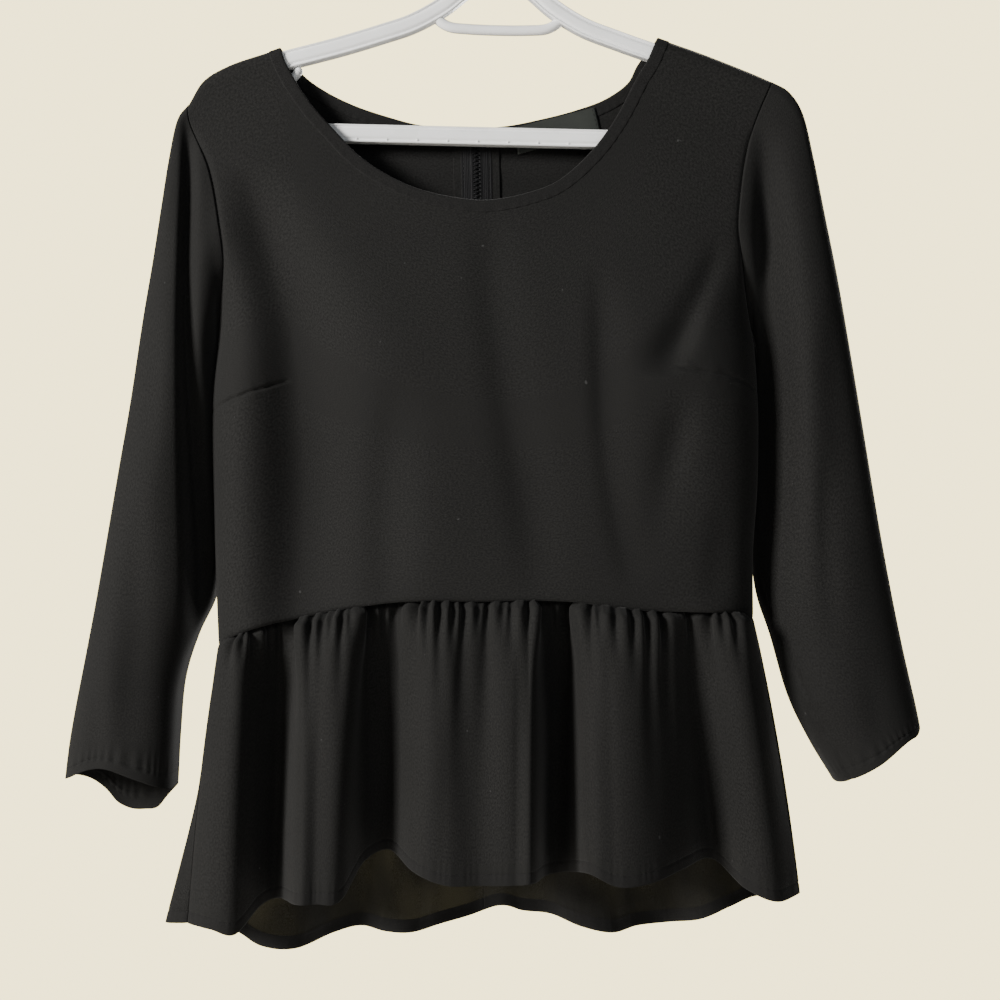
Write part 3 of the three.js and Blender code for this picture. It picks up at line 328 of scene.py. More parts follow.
def make_hanger():
    """The frame, hook, tie bar, strap hooks and webs in one mesh, then leaned over."""
    bm = bmesh.new()
    half = walk(soft_line(HANGER_ARM), np.linspace(0, 1, 150))
    loop = np.vstack([half, half[-2:0:-1] * (-1, 1)])
    moulded_rod(bm, loop, frame_outline(), closed=True)
    moulded_rod(bm, hook_line(), round_outline(HOOK_WIRE, 24))
    moulded_rod(bm, walk(soft_line(TIE_BAR), np.linspace(0, 1, 50)), round_outline(TIE_WIRE))
    for hand in (-1, 1):
        strap = walk(soft_line(STRAP_HOOK), np.linspace(0, 1, 30)) * (hand, 1)
        moulded_rod(bm, strap, round_outline(STRAP_WIRE))
        tip = bmesh.ops.create_uvsphere(bm, u_segments=16, v_segments=10,
                                        radius=STRAP_WIRE / 2 * MM)["verts"]
        bmesh.ops.translate(bm, vec=(strap[-1][0] * MM, 0, strap[-1][1] * MM), verts=tip)
    for x in np.arange(*TICK_SPAN, TICK_STEP):
        tick = bmesh.ops.create_cube(bm, size=1)["verts"]
        place = (x, *TICK_PLACE)
        bmesh.ops.scale(bm, vec=[size * MM for size in TICK_SIZE], verts=tick)
        bmesh.ops.translate(bm, vec=[number * MM for number in place], verts=tick)
    bmesh.ops.recalc_face_normals(bm, faces=bm.faces)
    lean = Matrix.Rotation(HANGER_LEAN, 3, "Y")
    bmesh.ops.rotate(bm, cent=(0, 0, 0), matrix=lean, verts=bm.verts)
    hanger = finished("moulded_hanger", bm, plastic("white_plastic"))
    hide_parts("hanger")


make_hanger()

# Front bodice
# One piece of light black crepe with a dart from each side seam to the bust. It hangs from
# the hanger's arms, turns over them, and falls into a few long soft folds.
CLOTH = 0.5  # thickness of the crepe
CREPE_BLACK = (0.0125, 0.0123, 0.0118)
THREAD_STEP = 0.00055  # metres from one thread of its weave to the next
FRONT = -1
BACK = 1
FULL = {FRONT: 34, BACK: 30}  # how far the body hangs forward and backward at the waist
ARM_COVER = 6.5  # cloth to hanger centre where it lies over an arm
ARM_ROUND = 8  # drop over which the cloth turns over an arm
FALL = 230  # drop in which the body reaches its full depth
SIDE_ROUND = 44  # width over which the body rounds into its side
UNDERARM_REACH = 90  # height over which the armhole closes into the side
ARMHOLE_SHARE = 0.46  # part of the panel's height that lies above the underarm
BAND_WIDTH = 9  # finished width of the neck binding
TUCK = 3  # how far a panel runs on under the binding
NECK_END = 0.06  # share of the neckline, at each end, that turns along the shoulder seam
HEAD_ENDS = (0.004, 0.996)  # shares of the neckline that the front's cloth follows
NECK_FRONT = [
    (-150.3, -131.2), (-146.2, -142.9), (-131.5, -167.7), (-114.3, -188.0), (-92.5, -210.2),
    (-61.5, -228.3), (-32.1, -236.3), (-10.1, -238.3), (16.0, -233.6), (36.7, -225.4),
    (60.3, -203.9), (76.6, -181.0), (91.7, -151.9), (98.1, -141.6), (105.4, -124.4),
]
SIDES = {  # shoulder seam from the neck out, armhole from the shoulder down, side seam down
    "left": {
        "hand": -1,
        "shoulder": [(-150.3, -131.2), (-159.8, -134.6), (-185.7, -143.5), (-202.7, -153.7),
                     (-212.9, -170.0)],
        "armhole": [(-212.9, -170.0), (-210.9, -183.1), (-197.9, -214.0), (-190.4, -248.3),
                    (-186.7, -278.7), (-189.7, -305.0), (-193.3, -337.6)],
        "seam": [(-193.3, -337.6), (-196.0, -365.0), (-196.6, -393.7), (-195.9, -432.5),
                 (-194.5, -484.8), (-192.5, -536.5)],
    },
    "right": {
        "hand": 1,
        "shoulder": [(105.4, -124.4), (112.8, -127.2), (133.9, -134.6), (168.6, -148.2),
                     (182.9, -154.4)],
        "armhole": [(182.9, -154.4), (170.3, -184.1), (163.4, -210.9), (159.5, -236.9),
                    (157.9, -256.0), (159.9, -272.7), (165.2, -304.8), (171.3, -334.0)],
        "seam": [(171.3, -334.0), (173.0, -358.0), (174.0, -380.8), (173.4, -432.5),
                 (170.6, -471.9), (170.6, -518.2)],
    },
}
WAIST_FRONT = [
    (-192.5, -536.5), (-180.1, -530.0), (-166.0, -524.6), (-152.6, -520.8), (-138.2, -518.0),
    (-99.5, -510.2), (-64.5, -505.8), (-17.2, -505.6), (43.3, -505.6), (84.2, -511.0),
    (129.7, -512.6), (158.2, -514.0), (170.6, -518.2),
]
BUST = [(-138, -360, 5, 60), (112, -352, 5, 60)]  # x, z, height and spread of its fullness
FRONT_FOLDS = [  # rows from the top down: z, x, width to the left, width to the right, depth
    [(-212, -172, 11, 16, 0), (-262, -157, 18, 26, 10), (-320, -141, 23, 36, 18),
     (-393, -133, 27, 42, 20), (-455, -132, 28, 42, 19), (-505, -135, 26, 38, 13.5),
     (-545, -140, 20, 26, 4)],
    [(-262, 145, 6, 8, 0), (-285, 139, 9, 7, 3), (-312, 127, 13, 7, 5.5),
     (-343, 113, 15, 8, 6.5), (-358, 106, 13, 8, 0)],
    [(-366, 118, 9, 10, 0), (-400, 114, 12, 10, 3.6), (-440, 106, 13, 12, 2),
     (-490, 98, 14, 12, 0)],
    [(-350, -68, 12, 15, 0), (-410, -74, 15, 18, 3.4), (-470, -76, 16, 18, 4.6),
     (-520, -76, 14, 16, 2)],
    [(-240, -8, 11, 13, 0), (-290, -7, 13, 17, 2.4), (-345, 0, 13, 20, 3.2),
     (-400, 9, 13, 21, 3.6), (-455, 19, 14, 20, 3.2), (-512, 26, 14, 18, 1)],
    [(-280, 63, 7, 10, 0), (-320, 65, 8, 14, 2.6), (-365, 66, 8, 15, 3.2), (-410, 69, 8, 15, 2.6),
     (-455, 77, 9, 15, 2.4), (-505, 88, 9, 14, 0.8)],
    [(-430, 146, 8, 11, 0), (-470, 143, 11, 12, 2), (-515, 140, 12, 13, 3)],
]
FOLD_FADE = 25  # height over which a fold ends at its foot
DARTS = [  # x, z from the side seam to the bust
    [(-195.8, -379.0), (-175.0, -370.5), (-157.4, -364.3), (-140.2, -358.0)],
    [(172.0, -365.5), (152.5, -357.6), (124.7, -353.0), (112.4, -350.6)],
]
SIDE_ROLL_START = -180  # z below which the armholes and side seams turn in
DART_DEPTH = 1.5
DART_WIDTH = 1.3
FRONT_CUT = (0.42, 0.41)
FRONT_GRID = (160, 190)
DART_ROWS = ([0, 0.35, 0.70, 1], [0, 0.47, 0.60, 1])  # share of the rows, and where they lie
EDGE_COLUMNS = ([0, 0.025, 0.975, 1], [0, 0.006, 0.994, 1])  # the same for the columns


def smooth(value):
    """Rises softly from 0 to 1, and stays there."""
    k = np.clip(value, 0, 1)
    return k * k * (3 - 2 * k)


def quarter_round(value):
    """Rises from 0 to 1 as the edge of a round does."""
    k = 1 - np.clip(value, 0, 1)
    return np.sqrt(1 - k * k)


SHOULDER_LINE = np.vstack([soft_line(SIDES["left"]["shoulder"])[::-1],
                           soft_line(SIDES["right"]["shoulder"])])
EDGES = {name: (soft_line(side["armhole"]), soft_line(side["seam"]))
         for name, side in SIDES.items()}


def shoulder_height(x):
    """Height of the shoulder seams, and of the line between them over the neck."""
    return np.interp(x, SHOULDER_LINE[:, 0], SHOULDER_LINE[:, 1])


def soft_shoulder_height(x):
    """The shoulder's height without its corners, which the cloth further down doesn't follow."""
    spots = np.linspace(-60, 60, 49)
    weights = np.exp(-(spots / 25) ** 2)
    heights = sum(w * shoulder_height(x + s) for s, w in zip(spots, weights))
    return heights / weights.sum()


def edge_at(name, z):
    """Where the body's edge lies at a height."""
    down = np.vstack([EDGES[name][0], EDGES[name][1][1:]])[::-1]
    return np.interp(z, down[:, 1], down[:, 0])


def rounded_side(name, x, z):
    """Share of its depth that the body keeps near a side seam or armhole."""
    underarm = SIDES[name]["seam"][0][1]
    share = smooth((z - underarm) / UNDERARM_REACH)
    inside = (edge_at(name, z) - x) * SIDES[name]["hand"]
    return share + (1 - share) * quarter_round(inside / SIDE_ROUND)


def fold_depth(x, z, folds):
    """How far the cloth sinks in at a place, from all the folds near it."""
    total = np.zeros_like(x)
    for fold in folds:
        rows = np.array(fold, float)[::-1]
        height = np.clip(z, rows[0, 0], rows[-1, 0])
        centre, left, right, depth = soft_read(height, rows[:, 0], rows[:, 1:]).T
        within = (z >= rows[0, 0]) & (z <= rows[-1, 0])
        beside = x - centre
        wide = np.where(beside < 0, left, right)
        fade = smooth((z - rows[0, 0]) / FOLD_FADE) if rows[0, 4] > 0 else 1
        sunk = np.maximum(depth, 0) * fade * np.exp(-(beside / wide) ** 2)
        total += np.where(within, sunk, 0)
    return total


def body_depth(x, z, facing, folds):
    """Depth of the body's cloth, away from the middle plane."""
    drop = shoulder_height(x) - z
    soft_drop = np.maximum(soft_shoulder_height(x) - z, 0)
    over_arm = ARM_COVER * quarter_round(drop / ARM_ROUND)
    hang = over_arm + (FULL[facing] - ARM_COVER) * smooth(soft_drop / FALL)
    sides = rounded_side("left", x, z) * rounded_side("right", x, z)
    bust = BUST if facing == FRONT else []
    full = sum(high * np.exp(-((x - bust_x) ** 2 + (z - bust_z) ** 2) / spread ** 2)
               for bust_x, bust_z, high, spread in bust)
    return sides * (hang + full - fold_depth(x, z, folds))


def moved_neck(neck, fraction, distance):
    """The neckline moved away from its opening, and along the shoulder seams at its ends."""
    line = soft_line(neck)
    step = 0.002
    point = walk(line, fraction)
    ahead = walk(line, np.clip(fraction + step, 0, 1)) - walk(line, np.clip(fraction - step, 0, 1))
    away = np.stack([ahead[:, 1], -ahead[:, 0]], axis=-1)
    away /= np.linalg.norm(away, axis=1)[:, None]
    for name, near in (("left", fraction < 0.5), ("right", fraction >= 0.5)):
        seam = np.subtract(*SIDES[name]["shoulder"][1::-1])
        seam = seam / np.linalg.norm(seam)
        ending = near * (1 - smooth(np.minimum(fraction, 1 - fraction) / NECK_END))
        ending = ending[:, None]
        away = away * (1 - ending) + seam * ending
    away /= np.linalg.norm(away, axis=1)[:, None]
    return point + away * distance


def shoulder_part(name):
    """The shoulder seam from its tip to the binding."""
    seam = soft_line(SIDES[name]["shoulder"])[::-1]
    length = np.linalg.norm(np.diff(seam, axis=0), axis=1).sum()
    return walk(seam, np.linspace(0, 1 - (BAND_WIDTH - TUCK) / length, 40))


def panel_edge(name, down):
    """The panel's own edge: down the armhole, then down the side seam."""
    armhole, seam = EDGES[name]
    above = walk(armhole, np.clip(down / ARMHOLE_SHARE, 0, 1))
    below = walk(seam, np.clip((down - ARMHOLE_SHARE) / (1 - ARMHOLE_SHARE), 0, 1))
    return np.where((down < ARMHOLE_SHARE)[:, None], above, below)


def panel_flat(across, down, head_line, left, right, waist):
    """Spreads a panel between its top line, its two edges and its waist seam, as x and z."""
    head = walk(head_line, across)
    first, last = head_line[0], head_line[-1]
    u = ((head[:, 0] - first[0]) / (last[0] - first[0]))[:, None]
    v = down[:, None]
    ends = np.ones(1)
    foot_left, foot_right = left(ends)[0], right(ends)[0]
    foot_x = foot_left[0] + (foot_right[0] - foot_left[0]) * u[:, 0]
    foot = np.stack([foot_x, np.interp(foot_x, *waist.T)], axis=-1)
    flat = head * (1 - v) + foot * v + left(down) * (1 - u) + right(down) * u
    flat = flat - first * (1 - u) * (1 - v) - last * u * (1 - v)
    return flat - foot_left * (1 - u) * v - foot_right * u * v


def tube_distance(x, z, path):
    """Distance of places from a short line, and how far along it they are."""
    line = soft_line(path, 12)
    gaps = np.hypot(x[:, None] - line[:, 0], z[:, None] - line[:, 1])
    nearest = gaps.argmin(axis=1)
    return gaps.min(axis=1), nearest / (len(line) - 1)


def seam_groove(x, z, path, depth, width, end_fade=0.15):
    """A sewn line: a narrow groove with small puckers beside it."""
    gap, along = tube_distance(x, z, path)
    fade = smooth((1 - along) / end_fade) if end_fade else 1
    pucker = 0.25 * np.sin(along * 55 + 2 * np.sin(along * 17)) * np.exp(-(gap / (4 * width)) ** 2)
    return fade * (depth * np.exp(-(gap / width) ** 2) + pucker * depth)


def edge_roll(gap, depth=1.6, reach=1.8):
    """Cloth turns in over its seam allowance at an edge."""
    return depth * np.exp(-(np.maximum(gap, 0) / reach) ** 1.5)


def wave(tree, place, direction, values):
    """Threads that run one way."""
    node = add_node(tree, "ShaderNodeTexWave", values, {"Vector": place})
    node.bands_direction = direction
    return node.outputs["Fac"]


def reckon(tree, operation, *terms):
    """A Math node, whose numbers stay on its sockets."""
    node = tree.nodes.new("ShaderNodeMath")
    node.operation = operation
    for socket, term in zip(node.inputs, terms):
        if isinstance(term, float):
            socket.default_value = term
        else:
            tree.links.new(term, socket)
    return node.outputs[0]


def blend(tree, kind, factor, first, second):
    """A Mix node for two colours."""
    node = tree.nodes.new("ShaderNodeMix")
    node.data_type = "RGBA"
    node.blend_type = kind
    node.inputs["Factor"].default_value = factor
    tree.links.new(first, node.inputs[6])
    tree.links.new(second, node.inputs[7])
    return node.outputs[2]


def crepe(name, colour=CREPE_BLACK, lint=True, sheer=None):
    """Black crepe: a fine uneven weave with a pebbled face and painted shade in its pits, matt, with a
    little lint.
    """
    material, tree, coords = new_material(name, {
        "Sheen Weight": 0.06, "Sheen Roughness": 0.45, "Specular IOR Level": 0.15,
    })
    scale = math.pi / 10 / THREAD_STEP
    threads = {"Scale": scale, "Distortion": 1.6, "Detail": 1, "Detail Scale": 0.4}
    weave = [wave(tree, coords["UV"], direction, threads) for direction in "XY"]
    pebble = noise(tree, coords["UV"], 780, 3)
    face = reckon(tree, "MULTIPLY_ADD", reckon(tree, "MAXIMUM", *weave), 0.25, pebble)
    wear = noise(tree, coords["Object"], 11, 5)
    dark, light = ([c * share for c in colour] for share in (0.86, 1.12))
    shade = ramp(tree, wear, (0.3, dark), (0.7, light))
    # Painted shade: the pebble pattern also gives the face its relief, and its low points, the pits,
    # are darkened in colour.
    pit_shade = ramp(tree, pebble, (0.36, (0.3, 0.3, 0.3)), (0.64, (1, 1, 1)))
    cloth_colour = blend(tree, "MULTIPLY", 0.8, shade, pit_shade)
    if lint:
        fluff = noise(tree, coords["Object"], 190, 1)
        specks = ramp(tree, fluff, (0.80, (0, 0, 0)), (0.84, (0.03, 0.03, 0.03)))
        cloth_colour = blend(tree, "ADD", 1.0, cloth_colour, specks)
    feed(tree, {
        "Base Color": cloth_colour,
        "Roughness": span(tree, wear, 0.74, 0.9),
        "Normal": bump(tree, face, 0.6, 0.0002),
    })
    if sheer:
        feed(tree, {"Alpha": span(tree, wear, sheer[1], sheer[0], 0.4, 0.62)})
    return material


def cut_cloth(name, grid, cut, place, material, thickness=CLOTH, ring=False, second=None):
    """A piece of cloth cut flat, each point of which is then moved to its place on the top."""
    bm = bmesh.new()
    bmesh.ops.create_grid(bm, x_segments=grid[0], y_segments=grid[1], size=0.5)
    threads = bm.loops.layers.uv.new("threads")
    for face in bm.faces:
        for loop in face.loops:
            loop[threads].uv = ((loop.vert.co.x + 0.5) * cut[0], (loop.vert.co.y + 0.5) * cut[1])
        middle = face.calc_center_median()
        face.material_index = int(second is not None and second[0](middle.x + 0.5, 0.5 - middle.y))
    flat = np.array([tuple(vert.co) for vert in bm.verts])
    for vert, point in zip(bm.verts, place(flat[:, 0] + 0.5, 0.5 - flat[:, 1]) * MM):
        vert.co = point
    if ring:
        bmesh.ops.remove_doubles(bm, verts=bm.verts, dist=1e-6)
    bm.normal_update()
    outward = sum(f.normal.y * f.calc_center_median().y * f.calc_area() for f in bm.faces)
    if outward < 0:
        bmesh.ops.reverse_faces(bm, faces=bm.faces)
    piece = finished(name, bm, material)
    if second:
        piece.data.materials.append(second[1])
    wall = piece.modifiers.new("thickness", "SOLIDIFY")
    wall.thickness = thickness * MM
    wall.offset = -1
    return piece


FRONT_NECK = moved_neck(NECK_FRONT, np.linspace(*HEAD_ENDS, 240), BAND_WIDTH - TUCK)
FRONT_HEAD = np.vstack([shoulder_part("left"), FRONT_NECK, shoulder_part("right")[::-1]])


def side_gap(x, z):
    """Distance to the nearer side of the body."""
    return np.minimum(x - edge_at("left", z), edge_at("right", z) - x)


def front_place(across, down):
    """The front with its folds and darts, turned in at its waist and sides."""
    across = np.interp(across, *EDGE_COLUMNS)
    down = np.interp(down, *DART_ROWS)
    flat = panel_flat(across, down, FRONT_HEAD, lambda v: panel_edge("left", v),
                      lambda v: panel_edge("right", v), soft_line(WAIST_FRONT))
    x, z = flat.T
    y = body_depth(x, z, FRONT, FRONT_FOLDS)
    for dart in DARTS:
        y -= seam_groove(x, z, dart, DART_DEPTH, DART_WIDTH)
    y -= edge_roll(z - np.interp(x, *np.transpose(WAIST_FRONT)), 1.1, 1.5)
    y -= edge_roll(side_gap(x, z)) * smooth((SIDE_ROLL_START - z) / 20)
    return np.stack([x, -np.maximum(y, 0.2), z], axis=-1)


front = cut_cloth("front_bodice_crepe", FRONT_GRID, FRONT_CUT, front_place, crepe("front_crepe"))
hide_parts("front_bodice")

# Back bodice
# Two pieces of the same crepe, joined by the zip down the centre back. They hang a little
# flatter than the front, with long soft folds from the shoulder blades.
NECK_BACK = [
    (-150.3, -131.2), (-135.1, -148.7), (-120.2, -159.1), (-101.2, -168.2), (-77.9, -175.9),
    (-56.6, -181.2), (-25.6, -183.7), (3.4, -181.8), (26.9, -177.3), (49.5, -171.6),
    (70.7, -163.9), (86.3, -152.8), (92.4, -141.4), (105.4, -124.4),
]
WAIST_BACK = [
    (-192.5, -536.5), (-150.0, -524.0), (-80.0, -514.0), (-11.0, -511.0), (60.0, -512.0),
    (130.0, -514.5), (170.6, -518.2),
]
CENTRE_NECK = (-18.0, -183.9)
CENTRE_WAIST = (-11.0, -511.0)
CENTRE_GAP = 0.2  # half the space between the two backs, over the closed zip
BACK_FOLDS = [
    [(-240, -122, 10, 12, 0), (-300, -120, 16, 17, 4), (-400, -117, 19, 22, 6.5),
     (-480, -113, 18, 20, 5), (-530, -110, 16, 18, 3)],
    [(-230, 92, 10, 12, 0), (-290, 88, 15, 16, 3.5), (-390, 84, 18, 18, 5.5),
     (-470, 80, 18, 17, 4.5), (-525, 78, 15, 15, 2)],
    [(-320, -62, 8, 9, 0), (-390, -60, 12, 12, 1.8), (-470, -56, 14, 12, 2.6),
     (-525, -54, 12, 12, 1)],
    [(-350, 38, 8, 9, 0), (-420, 40, 11, 13, 2.0), (-490, 41, 12, 12, 2.4),
     (-525, 42, 12, 12, 1)],
    [(-300, 138, 9, 8, 0), (-370, 136, 12, 12, 2.2), (-450, 132, 13, 12, 2.6),
     (-522, 130, 10, 12, 1)],
    [(-330, -160, 8, 9, 0), (-400, -158, 11, 11, 2.4), (-500, -157, 12, 11, 1.6),
     (-535, -157, 8, 8, 0)],
]
BACK_CUT = (0.20, 0.40)
BACK_GRID = (90, 140)


def share_at(neck, x):
    """Fraction of a neckline at which it passes a place."""
    fractions = np.linspace(0, 1, 2000)
    return fractions[np.abs(walk(soft_line(neck), fractions)[:, 0] - x).argmin()]


CENTRE_SHARE = share_at(NECK_BACK, CENTRE_NECK[0])


def back_panel(name, hand):
    """One back, from its shoulder and side to the zip."""
    ends = (HEAD_ENDS[0], CENTRE_SHARE) if name == "left" else (CENTRE_SHARE, HEAD_ENDS[1])
    neck = moved_neck(NECK_BACK, np.linspace(*ends, 120), BAND_WIDTH - TUCK)
    shoulder = shoulder_part(name)
    if name == "left":
        head_line, top = np.vstack([shoulder, neck]), neck[-1]
    else:
        head_line, top = np.vstack([neck, shoulder[::-1]]), neck[0]
    gap = np.array((hand * CENTRE_GAP, 0))

    def centre_edge(down):
        return top + (np.array(CENTRE_WAIST) - top) * down[:, None] + gap

    def side(down):
        return panel_edge(name, down)

    left, right = (side, centre_edge) if name == "left" else (centre_edge, side)

    def place(across, down):
        across = np.interp(across, *EDGE_COLUMNS)
        x, z = panel_flat(across, down, head_line, left, right, soft_line(WAIST_BACK)).T
        y = body_depth(x, z, BACK, BACK_FOLDS)
        centre_x = np.interp(z, *np.transpose([CENTRE_WAIST, CENTRE_NECK])[::-1])
        y -= edge_roll(z - np.interp(x, *np.transpose(WAIST_BACK)))
        y -= edge_roll(side_gap(x, z)) * smooth((SIDE_ROLL_START - z) / 20)
        y -= edge_roll(np.abs(x - centre_x) - CENTRE_GAP, 0.9, 1.2)
        return np.stack([x, np.maximum(y, 0.2), z], axis=-1)

    return place


for side_name, side in SIDES.items():
    back = cut_cloth(f"back_bodice_{side_name}_crepe", BACK_GRID, BACK_CUT,
                     back_panel(side_name, side["hand"]), crepe(f"back_{side_name}_crepe"))
    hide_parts(f"back_bodice_{side_name}")

# Neck binding
# A bias strip of the crepe, folded and pressed, that encloses the neck's edge. It is in three
# lengths: the front, and the back on each side of the zip.
BAND_WALL = 1.5
BAND_RISE = 0.45
BAND_STEPS = 14  # round half of its folded section
BAND_ROUND = 0.02  # metres of its weave round the section
BAND_STEP = 0.002  # metres of its weave in one step along it
BAND_GAP = 0.0004  # share of the neckline between the zip's middle and each back length
PRESSED_BLACK = (0.0115, 0.0112, 0.011)


def band_section():
    """Places round the folded strip: share of its width, and share of its thickness."""
    outer = [(k, 0.5 * quarter_round(np.array(min(k, 1 - k) * 9)).item())
             for k in np.linspace(0, 1, BAND_STEPS)]
    inner = [(k, -high) for k, high in outer[-2:0:-1]]
    return outer + inner


def bind_neck(name, neck, facing, ends, folds, steps):
    """Lays the folded strip along the neckline, over the panel's raw edge."""
    section = band_section()
    around = len(section)
    bm = bmesh.new()
    bmesh.ops.create_grid(bm, x_segments=around, y_segments=steps, size=0.5)
    threads = bm.loops.layers.uv.new("threads")
    for face in bm.faces:
        for loop in face.loops:
            u, v = loop.vert.co.x + 0.5, loop.vert.co.y + 0.5
            loop[threads].uv = (u * BAND_ROUND, v * steps * BAND_STEP)
    flat = np.array([tuple(vert.co) for vert in bm.verts])
    along = ends[0] + (ends[1] - ends[0]) * (0.5 + flat[:, 1])
    place = np.array([section[round((u + 0.5) * around) % around] for u in flat[:, 0]])
    ripple = 0.16 * np.sin(along * 260 + 3 * np.sin(along * 31))
    ripple *= np.exp(-((place[:, 0] - 0.85) / 0.25) ** 2)
    x, z = np.zeros(len(along)), np.zeros(len(along))
    for width in np.unique(place[:, 0]):
        these = place[:, 0] == width
        x[these], z[these] = moved_neck(neck, along[these], width * BAND_WIDTH).T

    def depth(beside, above):
        return body_depth(x + beside, z + above, facing, folds)

    step = 0.8
    slope_x = (depth(step, 0) - depth(-step, 0)) / (2 * step)
    slope_z = (depth(0, step) - depth(0, -step)) / (2 * step)
    outward = np.stack([-slope_x, facing * np.ones_like(x), -slope_z], axis=-1)
    outward /= np.linalg.norm(outward, axis=1)[:, None]
    on_shoulder = (1 - smooth(np.minimum(along, 1 - along) / 0.02))[:, None]
    outward = outward * (1 - on_shoulder) + np.array((0, 0.2 * facing, 1)) * on_shoulder
    lift = BAND_RISE - BAND_WALL / 2 + place[:, 1] * BAND_WALL + ripple
    points = np.stack([x, facing * depth(0, 0), z], axis=-1) + outward * lift[:, None]
    for vert, point in zip(bm.verts, points * MM):
        vert.co = point
    bmesh.ops.remove_doubles(bm, verts=bm.verts, dist=1e-6)
    bmesh.ops.holes_fill(bm, edges=[edge for edge in bm.edges if edge.is_boundary], sides=0)
    bmesh.ops.recalc_face_normals(bm, faces=bm.faces)
    band = finished(f"{name}_strip", bm, BINDING)
    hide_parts(name)


BINDING = crepe("binding_crepe", colour=PRESSED_BLACK, lint=False)
bind_neck("neck_binding_front", NECK_FRONT, FRONT, (0, 1), FRONT_FOLDS, 260)
bind_neck("neck_binding_back_left", NECK_BACK, BACK, (0, CENTRE_SHARE - BAND_GAP), BACK_FOLDS, 130)
bind_neck("neck_binding_back_right", NECK_BACK, BACK, (CENTRE_SHARE + BAND_GAP, 1), BACK_FOLDS, 130)

